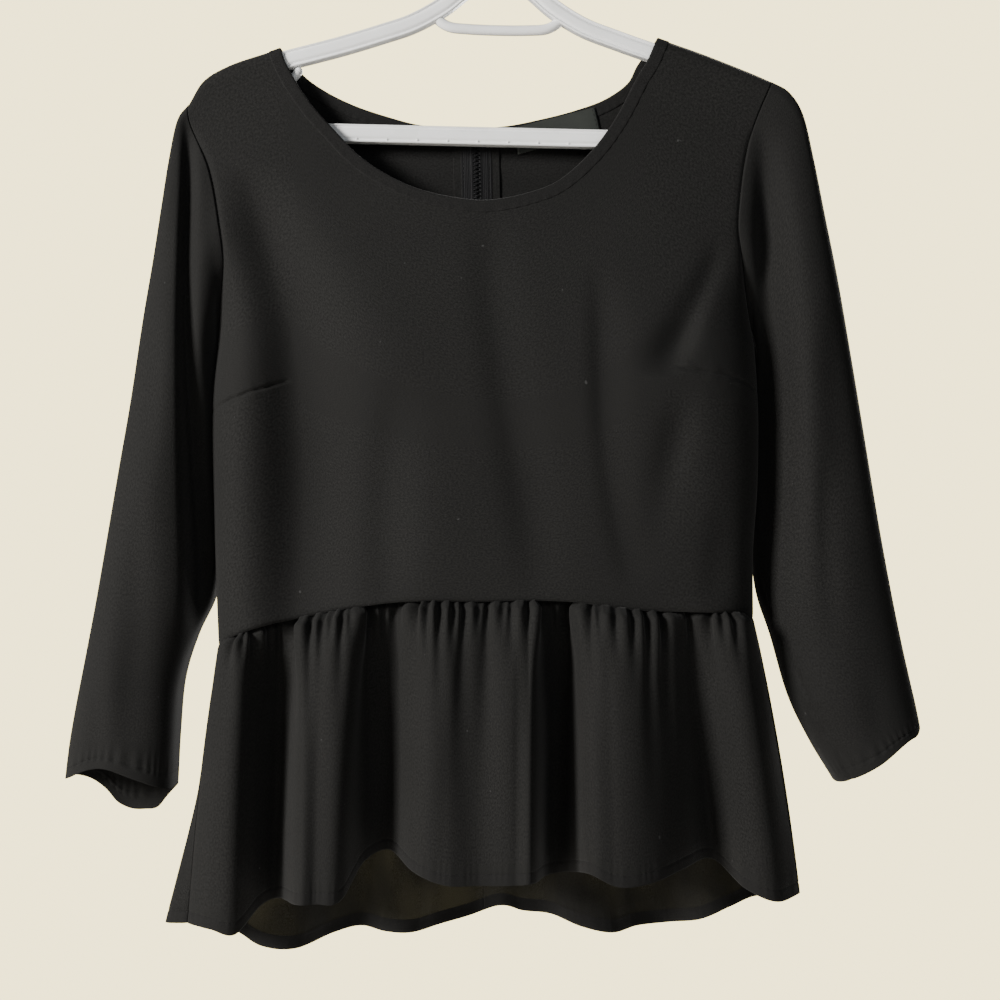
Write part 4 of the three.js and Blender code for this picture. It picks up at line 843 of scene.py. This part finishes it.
# Sleeves
# Each is one piece of crepe, closed by an underarm seam and set into the armhole. They hang
# beside the body and fall a little behind it, with a deep fold where they leave the armhole.
ARMHOLE_ROWS = [0, 0.012, 0.04, 0.1, 0.2, 0.33, 0.47, 0.61, 0.74, 0.86, 0.95, 1]
ARMHOLE_BLEND = 5  # stations in which a sleeve leaves the armhole's own line
SLEEVES = {  # rows: outer x and z, inner x and z, depth in front and behind, inner edge's depth
    "left": {
        "stations": [
            (-212.9, -170.0, -193.6, -337.9, 18, 16, 0), (-220.4, -181.0, -194.4, -342.0, 20, 19, 2),
            (-225.8, -207.4, -194.2, -348.0, 23, 23, 5), (-229.9, -234.6, -194.0, -355.0, 26, 27, 9),
            (-236.0, -275.4, -193.8, -366.0, 29, 31, 13), (-242.8, -316.2, -193.6, -382.0, 31, 34, 16),
            (-251.0, -370.6, -193.6, -408.0, 32, 36, 18), (-259.0, -416.0, -193.6, -440.0, 32, 37, 19),
            (-267.0, -462.0, -194.0, -474.0, 31, 37, 19), (-275.0, -508.0, -197.5, -504.0, 31, 37, 16),
            (-282.5, -548.0, -209.0, -531.0, 31, 36, 11), (-288.0, -577.0, -217.2, -560.0, 32, 35, 7),
            (-292.4, -603.0, -220.0, -595.0, 33, 35, 4), (-295.2, -626.5, -221.7, -632.4, 34, 36, 2),
        ],
        "folds": [
            [(-178, -213, 3, 6, 0), (-210, -212.5, 2.6, 6, 6), (-290, -212, 2.6, 7, 9),
             (-360, -211, 2.6, 9, 12), (-400, -210, 2.8, 12, 17), (-440, -209, 3, 14, 22),
             (-500, -207, 4, 14, 20), (-548, -206, 7, 14, 0)],
            [(-420, -246, 9, 10, 0), (-480, -243, 12, 12, 2.2), (-560, -245, 13, 14, 2.8),
             (-615, -247, 12, 14, 1)],
            [(-300, -229, 6, 7, 0), (-360, -232, 8, 9, 1.6), (-430, -235, 9, 9, 0)],
            [(-545, -268, 6, 8, 0), (-585, -268, 8, 9, 1.6), (-630, -270, 8, 9, 1.2)],
        ],
        "back_folds": [
            [(-230, -222, 8, 8, 0), (-300, -224, 10, 11, 4), (-400, -229, 12, 12, 6),
             (-520, -238, 14, 12, 4), (-600, -244, 12, 12, 1)],
            [(-380, -252, 9, 8, 0), (-450, -256, 10, 10, 2.4), (-560, -262, 11, 10, 2)],
        ],
        "seam": None,
        "inner_fullness": 0.42,
        "cuff_front": [(0, 0), (0.1, -4), (0.26, -10.5), (0.42, -13.5), (0.7, -8.4), (1, 0)],
        "cuff_back": [(0, 0), (0.15, 7), (0.26, 15), (0.32, 21), (0.42, 25.5), (0.6, 26),
                      (0.74, 22.5), (0.82, 15), (1, 0)],
    },
    "right": {
        "stations": [
            (182.9, -154.4, 171.6, -334.3, 18, 16, 0), (195.0, -161.6, 173.4, -338.0, 20, 18, 2),
            (204.4, -177.0, 173.4, -344.0, 22, 22, 5), (211.4, -207.4, 173.2, -351.0, 25, 26, 9),
            (218.6, -245.0, 172.6, -361.0, 28, 30, 13), (227.6, -291.0, 172.2, -376.0, 30, 33, 16),
            (237.4, -348.0, 172.0, -400.0, 31, 35, 18), (246.0, -400.0, 172.0, -432.0, 31, 36, 18),
            (254.6, -452.0, 172.4, -468.0, 31, 36, 18), (263.2, -499.0, 175.6, -502.0, 31, 36, 15),
            (270.2, -533.8, 184.6, -532.0, 31, 36, 10), (276.0, -560.0, 195.5, -572.0, 32, 35, 5),
            (279.6, -576.0, 209.6, -602.0, 32, 35, 3), (282.2, -590.0, 225.7, -629.0, 33, 35, 1),
        ],
        "folds": [
            [(-185, 176, 6, 9, 0), (-225, 177, 8, 11, 8), (-260, 178, 9, 12, 13),
             (-320, 180, 10, 13, 17), (-400, 181, 9, 13, 18), (-460, 181, 8, 12, 14),
             (-505, 180, 7, 10, 6), (-530, 182, 6, 8, 0)],
            [(-300, 222, 8, 9, 0), (-345, 220, 11, 12, 2.2), (-420, 223, 12, 13, 2.6),
             (-480, 226, 10, 12, 0)],
            [(-400, 214, 5, 7, 0), (-440, 214, 6, 8, 1.8), (-500, 216, 7, 9, 1.5),
             (-545, 219, 6, 8, 0)],
            [(-540, 241, 8, 8, 0), (-575, 246, 9, 9, 1.3), (-612, 250, 9, 9, 0.6)],
        ],
        "back_folds": [
            [(-220, 196, 8, 8, 0), (-300, 200, 10, 10, 4), (-400, 206, 12, 12, 6),
             (-520, 220, 13, 12, 3.5), (-590, 236, 12, 12, 1)],
            [(-350, 226, 8, 9, 0), (-450, 236, 10, 10, 2.6), (-550, 248, 11, 10, 1.5)],
        ],
        "seam": [(170, -440), (174, -478), (180.3, -506.9), (187.6, -524.8), (198.2, -555.3),
                 (208.8, -580.5), (220.7, -601.7), (233, -626)],
        "inner_fullness": 0.85,
        "cuff_front": [(0, 0), (0.1, 1.5), (0.2, -0.5), (0.6, 0.6), (1, 0)],
        "cuff_back": [(0, 0), (0.5, 1.6), (1, 0)],
    },
}
SLEEVE_CUT = (0.27, 0.45)
SLEEVE_GRID = (160, 165)
SLEEVE_ROWS = ([0, 0.05, 0.85, 1], [0, 0.015, 0.94, 1])  # closer at the armhole and the hem
SLEEVE_LENGTH = 430  # armhole to cuff along the arm, as it hangs
FULLNESS = 0.85  # the smaller, the boxier a sleeve's section
CUFF_BAND = 0.978  # share of the sleeve's length at which its hem starts
CUFF_ROW = 0.945  # share of the rows there


def sleeve_ring(turn, station, sleeve, stations):
    """A place on a sleeve's ring: outer edge at 0, over the front to the underarm, and back."""
    row = soft_read(station, np.arange(len(stations)), stations).T
    out_x, out_z, in_x, in_z, front_deep, back_deep, in_y = row
    facing = np.where(turn <= math.pi, FRONT, BACK)
    round_share = np.abs(np.sin(turn))
    across = (1 - np.cos(turn)) / 2
    inner_front = (facing == FRONT) & (across > 0.5)
    fullness = np.where(inner_front, sleeve["inner_fullness"], FULLNESS)
    deep = np.where(facing == FRONT, front_deep, back_deep) * round_share ** fullness
    front_fall = soft_read(across, *np.transpose(sleeve["cuff_front"]))
    back_fall = soft_read(across, *np.transpose(sleeve["cuff_back"]))
    near_cuff = (station / (len(stations) - 1)) ** 4
    fall = near_cuff * np.where(facing == FRONT, front_fall, back_fall)
    x = out_x + (in_x - out_x) * across
    z = out_z + (in_z - out_z) * across - fall
    return np.stack([x, facing * deep + in_y * across ** 4, z], axis=-1)


def armhole_ring(turn, name):
    """The armhole seam, at the same turns as the sleeve's rings."""
    half_turn = np.where(turn <= math.pi, turn, 2 * math.pi - turn) / math.pi
    fraction = np.interp(half_turn, np.linspace(0, 1, len(ARMHOLE_ROWS)), ARMHOLE_ROWS)
    x, z = walk(EDGES[name][0], fraction).T
    deep = np.where(turn <= math.pi, -body_depth(x, z, FRONT, FRONT_FOLDS),
                    body_depth(x, z, BACK, BACK_FOLDS))
    return np.stack([x, deep, z], axis=-1)


def sleeve_place(name):
    """A sleeve with its folds, its underarm seam, its set-in edge and its puckered hem."""
    sleeve = SLEEVES[name]
    stations = np.array(sleeve["stations"], float)
    last = len(stations) - 1

    def place(across, down):
        turn = across * 2 * math.pi
        length = np.interp(down, *SLEEVE_ROWS)
        station = length * last
        points = sleeve_ring(turn, station, sleeve, stations)
        stay = (1 - smooth(station / ARMHOLE_BLEND)) * (1 - 0.1 * smooth(station))
        first = sleeve_ring(turn, np.zeros_like(station), sleeve, stations)
        points += (armhole_ring(turn, name) - first) * stay[:, None]
        x, y, z = points.T
        front_side = turn <= math.pi
        inside = np.abs(np.sin(turn)) ** 0.4
        sink = np.where(front_side, fold_depth(x, z, sleeve["folds"]),
                        fold_depth(x, z, sleeve["back_folds"]))
        if sleeve["seam"]:
            sink += np.where(front_side, seam_groove(x, z, sleeve["seam"], 2.0, 1.2, 0), 0)
        sink += 1.3 * np.exp(-(length * SLEEVE_LENGTH / 2.0) ** 2)
        pucker = np.sin(turn * 34 + 3 * np.sin(turn * 5)) * 0.45
        above_band = (CUFF_BAND - length) * SLEEVE_LENGTH
        sink += pucker * np.exp(-(np.maximum(above_band, 0) / 9) ** 2) * (above_band > -3)
        sink += 0.55 * np.exp(-(above_band / 0.9) ** 2)
        y = y + np.where(front_side, sink, -sink) * inside
        return np.stack([x, y, z], axis=-1)

    return place


for side_name in SIDES:
    sleeve = cut_cloth(f"sleeve_{side_name}_crepe", SLEEVE_GRID, SLEEVE_CUT,
                       sleeve_place(side_name), crepe(f"sleeve_{side_name}_cloth"), ring=True)
    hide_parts(f"sleeve_{side_name}")

# Peplum
# A strip of the same crepe, much longer than the waist and gathered onto it. It is one piece
# in front and two behind, longer behind, and a little sheer where it is a single layer.
WAIST_TUCK = 2  # how far the gathered edge runs up behind the bodice's edge
SEAM_TUCK = 2.6  # how far it starts behind the bodice's cloth
GATHERS = [  # x on the waist, depth and reach of each valley, in front
    (-178.7, 1.6, 45), (-170.1, 1.2, 20), (-164.2, 1.8, 45), (-155.0, 1.4, 45), (-149.1, 1.5, 45),
    (-139.9, 2.4, 130), (-126.7, 2.0, 90), (-118.2, 1.4, 45), (-112.3, 1.1, 20), (-105.0, 1.8, 80),
    (-99.8, 1.1, 20), (-86.6, 2.6, 170), (-78.8, 1.2, 25), (-71.5, 1.6, 45), (-66.9, 1.0, 20),
    (-57.1, 2.2, 120), (-49.2, 1.6, 110), (-40.7, 2.0, 90), (-31.5, 1.5, 45), (-24.9, 2.0, 150),
    (-15.1, 1.1, 20), (-9.8, 2.0, 120), (0.7, 1.2, 20), (5.9, 1.5, 45), (17.1, 2.2, 160),
    (27.6, 1.8, 85), (32.9, 1.2, 45), (42.1, 2.6, 170), (57.2, 2.0, 90), (63.1, 1.1, 20),
    (73.6, 1.4, 40), (84.8, 1.6, 50), (94.6, 2.2, 170), (105.1, 2.2, 130), (122.9, 1.6, 45),
    (135.3, 2.0, 160), (143.9, 1.2, 20), (151.7, 1.6, 45),
]
BACK_GATHERS = 38
BACK_GATHERS_START = 9  # from each side seam to the first
BACK_GATHER_SIZES = [(2.2, 140, 0.8), (1.3, 25, -0.9), (1.8, 60, 0.4)]  # depth, reach and shift
HEM = {  # share of the waist seam that hangs there, x, y and z
    FRONT: [
        (0.00, -211.0, -17, -721.5), (0.035, -192.0, -31, -721.8), (0.065, -176.0, -31, -725.0),
        (0.095, -163.5, -7, -713.0), (0.13, -150.5, -3, -708.5), (0.155, -137.0, -39, -702.6),
        (0.205, -121.0, -46, -701.0), (0.26, -104.0, -42, -698.5), (0.30, -92.0, -10, -681.5),
        (0.335, -77.0, -7, -674.5), (0.375, -60.0, -38, -680.5), (0.44, -37.0, -50, -687.8),
        (0.50, -14.0, -46, -689.0), (0.555, 8.0, -50, -687.8), (0.595, 22.5, -46, -686.8),
        (0.615, 29.5, -12, -691.0), (0.645, 43.5, -10, -689.0), (0.675, 54.5, -45, -681.0),
        (0.72, 74.0, -54, -687.6), (0.77, 96.0, -50, -686.6), (0.80, 107.0, -43, -684.6),
        (0.83, 121.0, -28, -682.0), (0.875, 143.0, 0, -682.6), (0.92, 162.0, -20, -697.5),
        (0.96, 182.0, -25, -705.1), (1.00, 203.5, 0, -705.8),
    ],
    BACK: [
        (0.00, -211.0, -17, -721.5), (0.03, -225.5, -9, -723.5), (0.06, -228.5, 6, -726.0),
        (0.10, -214.0, 27, -731.0), (0.15, -188.0, 34, -741.0), (0.20, -166.0, 17, -747.0),
        (0.25, -143.0, 18, -748.8), (0.30, -120.0, 46, -746.0), (0.35, -99.0, 47, -741.4),
        (0.39, -80.0, 22, -738.4), (0.43, -61.0, 20, -738.0), (0.46, -44.0, 43, -739.0),
        (0.49, -22.0, 46, -733.5), (0.51, -3.5, 38, -724.9), (0.54, 14.0, 45, -730.0),
        (0.59, 36.0, 44, -732.5), (0.63, 55.0, 21, -734.5), (0.67, 75.0, 20, -738.6),
        (0.72, 96.0, 45, -740.8), (0.77, 119.0, 45, -738.2), (0.81, 137.0, 22, -730.0),
        (0.86, 158.0, 20, -720.5), (0.91, 178.0, 35, -717.2), (0.96, 196.0, 22, -714.0),
        (1.00, 203.5, 0, -705.8),
    ],
}
WAIST_ENDS = (-192.5, 170.6)
PEPLUM_SWELL = 2.5  # how far its sides belly out between waist and hem
PEPLUM_ROWS = ([0, 0.15, 0.8, 0.9, 1], [0, 0.06, 0.93, 0.96, 1])  # closer at waist and hem
HEM_SHARE = 0.04  # share of the length that is turned up as a hem
HEM_ROW = 0.9  # share of the rows at which it starts
WAVE_SPREAD = np.linspace(-0.12, 0.12, 13)  # shares of the waist over which the hem is evened
SHEER = (0.925, 0.976)  # opacity of the single layer behind, where it is thin and elsewhere
WAVE_START = 0.32  # the smaller, the higher the hem's waves reach towards the waist
PEPLUM_PIECES = {  # facing, share of the waist, columns, flat cut and its area
    "front": (FRONT, (0, 1), 470, (0.60, 0.20), 0.108),
    "back_left": (BACK, (0, 0.4999), 230, (0.34, 0.23), 0.070),
    "back_right": (BACK, (0.4999, 1), 230, (0.32, 0.23), 0.066),
}


def back_gathers():
    """Even gathers behind, in turn long and short."""
    start = WAIST_ENDS[0] + BACK_GATHERS_START
    length = WAIST_ENDS[1] - BACK_GATHERS_START - start
    rows = []
    for i in range(BACK_GATHERS):
        deep, reach, shift = BACK_GATHER_SIZES[i % len(BACK_GATHER_SIZES)]
        rows.append((start + length * (i + 0.5) / BACK_GATHERS + shift, deep, reach))
    return rows


def gather_push(x, drop, rows):
    """How far the gathers draw the cloth in: small drops of shadow under the seam, some long."""
    rows = np.array(rows, float)
    drop = drop[:, None]
    width = 2.0 + 0.055 * drop
    left_over = 1 - smooth(drop / (1.3 * rows[:, 2]))
    valleys = rows[:, 1] * left_over * np.exp(-((x[:, None] - rows[:, 0]) / width) ** 2)
    notches = rows[:, 1] * np.exp(-(drop / 17) ** 2 - ((x[:, None] - rows[:, 0]) / 2.6) ** 2)
    start = 0.7 + 0.3 * smooth(drop[:, 0] / 4)
    return -start * (1.5 * valleys.sum(axis=1) + 2.6 * notches.sum(axis=1))


def peplum_plain(share, k, facing):
    """The peplum before its gathers: straight from the waist to its wavy hem."""
    folds = FRONT_FOLDS if facing == FRONT else BACK_FOLDS
    waist = WAIST_FRONT if facing == FRONT else WAIST_BACK
    head_x = WAIST_ENDS[0] + (WAIST_ENDS[1] - WAIST_ENDS[0]) * share
    head_z = np.interp(head_x, *soft_line(waist).T) + WAIST_TUCK
    head_y = facing * body_depth(head_x, head_z, facing, folds)
    hem = np.array(HEM[facing], float)
    foot = soft_read(share, hem[:, 0], hem[:, 1:])
    nearby = [soft_read(np.clip(share + step, 0, 1), hem[:, 0], hem[:, 2:3])
              for step in WAVE_SPREAD]
    swing = foot[:, 1] - np.mean(nearby, axis=0)[:, 0]
    swell = (np.abs(share - 0.5) * 2) ** 6 * np.sign(share - 0.5) * PEPLUM_SWELL
    x = head_x + (foot[:, 0] - head_x) * k + swell * 4 * k * (1 - k)
    y = head_y + (foot[:, 1] - head_y) * k + swing * (k ** WAVE_START - k)
    z = head_z + (foot[:, 2] - head_z) * k
    return np.stack([x, y, z], axis=-1), head_z - foot[:, 2]


def peplum_place(facing, ends):
    """A peplum piece with its gathers, the tuck under its seam, and its turned hem."""
    rows = GATHERS if facing == FRONT else back_gathers()

    def place(across, down):
        share = ends[0] + (ends[1] - ends[0]) * across
        k = np.interp(down, *PEPLUM_ROWS)
        step = 0.0012
        plain, length = peplum_plain(share, k, facing)
        ahead = peplum_plain(share + step, k, facing)[0]
        tangent = ahead - peplum_plain(share - step, k, facing)[0]
        outward = np.stack([tangent[:, 1], -tangent[:, 0], np.zeros_like(k)], axis=-1) * -facing
        outward /= np.linalg.norm(outward, axis=1)[:, None]
        drop = k * length
        head_x = WAIST_ENDS[0] + (WAIST_ENDS[1] - WAIST_ENDS[0]) * share
        push = gather_push(head_x, drop, rows)
        push += 0.35 * np.sin(head_x * 1.9 + 2.2 * np.sin(head_x * 0.21)) * np.exp(-(drop / 5) ** 2)
        side = np.minimum(share, 1 - share) * (WAIST_ENDS[1] - WAIST_ENDS[0])
        away = smooth(side / 14)
        lift = 3.4 * smooth(drop / 7) * (1 - smooth(drop / 50))
        push += lift * away - SEAM_TUCK * (1 - smooth(drop / 6)) * (0.25 + 0.75 * away)
        above_band = length * (1 - HEM_SHARE) - drop
        push -= 0.35 * np.exp(-(above_band / 0.8) ** 2)
        ripple = 0.12 * np.sin(head_x * 1.3 + 2 * np.sin(head_x * 0.37))
        push += ripple * np.exp(-(above_band / 7) ** 2)
        push -= edge_roll(side, 1.0, 1.2)
        return plain + outward * push[:, None]

    return place


for piece_name, (facing, ends, columns, cut, area) in PEPLUM_PIECES.items():
    cloth = crepe(f"peplum_{piece_name}_cloth", lint=facing == FRONT,
                  sheer=SHEER if facing == BACK else None)
    hem_cloth = crepe(f"peplum_{piece_name}_hem", colour=PRESSED_BLACK, lint=False)
    peplum = cut_cloth(f"peplum_{piece_name}_crepe", (columns, 80), cut,
                       peplum_place(facing, ends), cloth,
                       second=(lambda across, down: down > HEM_ROW, hem_cloth))
    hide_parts(f"peplum_{piece_name}")

# Zip
# Two woven tapes sewn onto the seam allowances inside the centre back, and the nylon coil
# that closes them. The zip shows through the neck, and its end is hidden above the waist.
TAPE_HALF = 10.4  # half the width of both tapes
ALLOWANCE_HALF = 16  # half the width of the seam allowances under them
TAPE_WALL = 0.6
TAPE_TOP = 10.5  # below the neck's edge
TAPE_END = 0.86  # share of the way to the waist
TAPE_LIFT = 1.45  # inwards from the middle of the back's cloth
TAPE_CUT = (0.032, 0.273)
TAPE_GRID = (66, 150)
COIL_TEETH = 202
TOOTH_LENGTH = 3.4
TOOTH_WIDTH = 0.95
TOOTH_SHIFT = 0.75  # to its own side of the middle line
TOOTH_SLOPE = 0.12
COIL_LIFT = 0.42  # above the tape
SEWN_LINE = 9  # middle line to the tape's stitches


def tape_spot(offset, k, lift):
    """A place beside the zip's middle line, some way down it, and inwards from the cloth."""
    head = np.array((CENTRE_NECK[0], CENTRE_NECK[1] - TAPE_TOP))
    spot = head + (np.array(CENTRE_WAIST) - head) * TAPE_END * k[:, None]
    x, z = spot[:, 0] + offset, spot[:, 1]
    return np.stack([x, body_depth(x, z, BACK, BACK_FOLDS) - lift, z], axis=-1)


def tape_place(across, down):
    """The tapes with a cord beside the coil and a sewn line, on the wider allowances."""
    offset = (across - 0.5) * 2 * ALLOWANCE_HALF
    beside = np.abs(offset)
    cord = 0.45 * np.exp(-((beside - 2.9) / 0.7) ** 2)
    sewn = 0.35 * np.exp(-((beside - SEWN_LINE) / 0.6) ** 2)
    wavy = 0.25 * np.sin(down * 61 + 2 * np.sin(down * 17)) * (beside / ALLOWANCE_HALF) ** 2
    step = 0.55 * smooth((beside - TAPE_HALF) / 0.3 + 0.5)
    return tape_spot(offset, down, TAPE_LIFT + cord - sewn + wavy - step)


def tape_weave():
    """Black polyester tape: ribs along it, crossed by fine threads, with painted shade in the ribs'
    grooves.
    """
    material, tree, coords = new_material("zip_tape_weave", {
        "Sheen Weight": 0.03, "Specular IOR Level": 0.15,
    })
    ribs = wave(tree, coords["UV"], "X", {"Scale": 262, "Distortion": 0.6})
    threads = wave(tree, coords["UV"], "Y", {"Scale": 520, "Distortion": 0.6})
    worn = noise(tree, coords["Object"], 60)
    # Painted shade: the rib pattern that gives the tape its relief also darkens the colour in the
    # grooves between the ribs.
    feed(tree, {
        "Base Color": ramp(tree, ribs, (0, (0.006, 0.006, 0.0065)), (1, (0.011, 0.011, 0.012))),
        "Roughness": span(tree, worn, 0.5, 0.75),
        "Normal": bump(tree, reckon(tree, "ADD", ribs, threads), 0.6, 0.0002),
    })
    return material


def enamel(name, colour, rough, shine=0.5):
    """Smooth black enamel, nylon or thread, a little worn."""
    material, tree, coords = new_material(name, {
        "Specular IOR Level": shine, "Coat Weight": 0.4 * shine, "Coat Roughness": 0.2,
    })
    worn = noise(tree, coords["Object"], 240, 5)
    feed(tree, {
        "Base Color": ramp(tree, worn, (0.45, colour), (0.75, [3 * c for c in colour])),
        "Roughness": span(tree, worn, rough - 0.08, rough + 0.12),
        "Normal": bump(tree, worn, 0.15, 0.0001),
    })
    return material


def zip_coil():
    """The coil's turns, one for each side in turn, that hook over the middle line."""
    bm = bmesh.new()
    down = (np.arange(COIL_TEETH) + 0.5) / COIL_TEETH
    side = np.where(np.arange(COIL_TEETH) % 2, 1.0, -1.0)
    places = tape_spot(side * TOOTH_SHIFT, down, TAPE_LIFT + TAPE_WALL + COIL_LIFT)
    for hand, place in zip(side, places):
        across = Matrix.Rotation(math.pi / 2 + hand * TOOTH_SLOPE, 4, "Y")
        turned = Matrix.Translation(place * MM) @ across
        bmesh.ops.create_cone(bm, cap_ends=True, segments=10, radius1=TOOTH_WIDTH / 2 * MM,
                              radius2=TOOTH_WIDTH / 2 * MM, depth=TOOTH_LENGTH * MM, matrix=turned)
    nylon = enamel("coil_nylon", (0.005, 0.005, 0.0055), 0.7, shine=0.08)
    return finished("zip_coil", bm, nylon)


def beyond_tape(across, down):
    """Whether a place on the strip is bare allowance, past the tape's edge."""
    return abs(across - 0.5) * 2 * ALLOWANCE_HALF > TAPE_HALF


tape = cut_cloth("zip_tape_cloth", TAPE_GRID, TAPE_CUT, tape_place, tape_weave(),
                 thickness=TAPE_WALL,
                 second=(beyond_tape, crepe("allowance_crepe", lint=False)))
coil = zip_coil()
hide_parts("zip_tape")

# Zip slider and pull tab
# A die-cast slider with a bridge, and a stamped tab that hangs from it, both enamelled black.
# They lie on the outside of the centre back, just under the neck.
SOFT_EDGE = 0.24  # radius of their worn edges


def enamelled(node_name, made_name, body):
    """The part's own shape with rounded edges."""
    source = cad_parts[node_name]
    bm = bmesh.new()
    bm.from_mesh(source.data)
    bmesh.ops.transform(bm, matrix=source.matrix_world, verts=bm.verts)
    bmesh.ops.remove_doubles(bm, verts=bm.verts, dist=1e-6)
    bmesh.ops.dissolve_limit(bm, angle_limit=0.02, verts=bm.verts, edges=bm.edges)
    sharp = [edge for edge in bm.edges if edge.is_manifold and edge.calc_face_angle() > 0.35]
    bmesh.ops.bevel(bm, geom=sharp, offset=SOFT_EDGE * MM, segments=3, affect="EDGES", profile=0.6,
                    clamp_overlap=True)
    bmesh.ops.recalc_face_normals(bm, faces=bm.faces)
    made = finished(made_name, bm, enamel(f"{made_name}_enamel", (0.011, 0.011, 0.012), 0.3), body)
    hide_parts(node_name)


enamelled("zip_slider", "zip_slider_casting", "garment")
enamelled("zip_pull", "zip_pull_tab", "pull")

# Neck label
# A length of black satin ribbon with its ends folded under, sewn inside the back neck, behind
# the hanger's bar. Its face is bare.
LABEL_CORNERS = [[(7.6, -183.6), (63.3, -169.8)], [(11.0, -201.4), (67.4, -185.4)]]  # top, bottom
LABEL_CUT = (0.058, 0.018)
LABEL_LIFT = 1.5  # inwards from the middle of the back's cloth
LABEL_WALL = 0.35
LABEL_GRID = (70, 24)


def label_place(across, down):
    """The ribbon between its four corners, a little wavy, with its two ends folded under."""
    top, foot = np.array(LABEL_CORNERS)
    u, v = across[:, None], down[:, None]
    flat = (top[0] * (1 - u) + top[1] * u) * (1 - v)
    flat += (foot[0] * (1 - u) + foot[1] * u) * v
    x, z = flat.T
    ends = np.minimum(across, 1 - across) * LABEL_CUT[0] * 1000
    folded = 0.5 * quarter_round(ends / 1.2)
    wavy = 0.35 * np.sin(across * 9 + down * 2) * down + 0.18 * np.sin(across * 31) * down ** 2
    y = body_depth(x, z, BACK, BACK_FOLDS) - LABEL_LIFT - folded - wavy
    return np.stack([x, y, z], axis=-1)


def satin():
    """Black satin ribbon: long floating threads across it, softly shiny."""
    material, tree, coords = new_material("label_ribbon", {
        "Roughness": 0.34, "Anisotropic": 0.5, "Specular IOR Level": 0.3, "Sheen Weight": 0.08,
    })
    threads = wave(tree, coords["UV"], "Y", {"Scale": 1100, "Distortion": 1.2, "Detail": 2})
    flow = noise(tree, coords["Object"], 90)
    feed(tree, {
        "Base Color": ramp(tree, flow, (0, (0.016, 0.018, 0.0155)), (1, (0.032, 0.036, 0.031))),
        "Normal": bump(tree, threads, 0.3, 0.0001),
    })
    return material


label = cut_cloth("neck_label_ribbon", LABEL_GRID, LABEL_CUT, label_place, satin(),
                  thickness=LABEL_WALL)
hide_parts("neck_label")

# Stitches
# Black polyester thread in short straight stitches: along the peplum's hem and both cuffs,
# down each side of the zip, and at the label's two ends.
STITCH_LENGTH = 2.0
STITCH_STEP = 2.9
STITCH_WIDTH = 0.42
ROW_PLACES = 900  # along each row
LABEL_ENDS = (0.03, 0.97)


def sewn_rows(name, rows):
    """Lays stitches end to end along lines of places on the cloth."""
    bm = bmesh.new()
    for row in rows:
        length = np.linalg.norm(np.diff(row, axis=0), axis=1).sum()
        count = int(length / STITCH_STEP)
        size = Matrix.Diagonal((STITCH_LENGTH * MM, STITCH_WIDTH * MM, STITCH_WIDTH * MM, 1))
        for spot in (np.arange(count) + 0.5) / count:
            ends = np.array([spot - 0.2 / count, spot + 0.2 / count])
            start, end = (Vector(place) for place in walk(row, ends))
            along = (end - start).to_track_quat("X", "Z").to_matrix().to_4x4()
            middle = Matrix.Translation((start + end) / 2 * MM)
            bmesh.ops.create_icosphere(bm, subdivisions=1, radius=0.5, matrix=middle @ along @ size)
    thread = enamel(f"{name}_thread", (0.008, 0.008, 0.008), 0.75, shine=0.1)
    made = finished(name, bm, thread)


ALONG = np.linspace(0, 1, ROW_PLACES)
ON_TAPE = TAPE_LIFT + TAPE_WALL - 0.2
HEM_SEAMS = [peplum_place(facing, ends)(ALONG, np.full(ROW_PLACES, HEM_ROW))
             for facing, ends, *_ in PEPLUM_PIECES.values()]
CUFF_SEAMS = [sleeve_place(name)(ALONG, np.full(ROW_PLACES, CUFF_ROW)) for name in SIDES]
TAPE_SEAMS = [tape_spot(hand * SEWN_LINE, ALONG, ON_TAPE) for hand in (-1, 1)]
LABEL_SEAMS = [label_place(np.full(ROW_PLACES, end), ALONG) - (0, LABEL_WALL, 0)
               for end in LABEL_ENDS]
sewn_rows("peplum_hem_stitches", HEM_SEAMS)
sewn_rows("cuff_stitches", CUFF_SEAMS)
sewn_rows("zip_stitches", TAPE_SEAMS)
sewn_rows("label_stitches", LABEL_SEAMS)
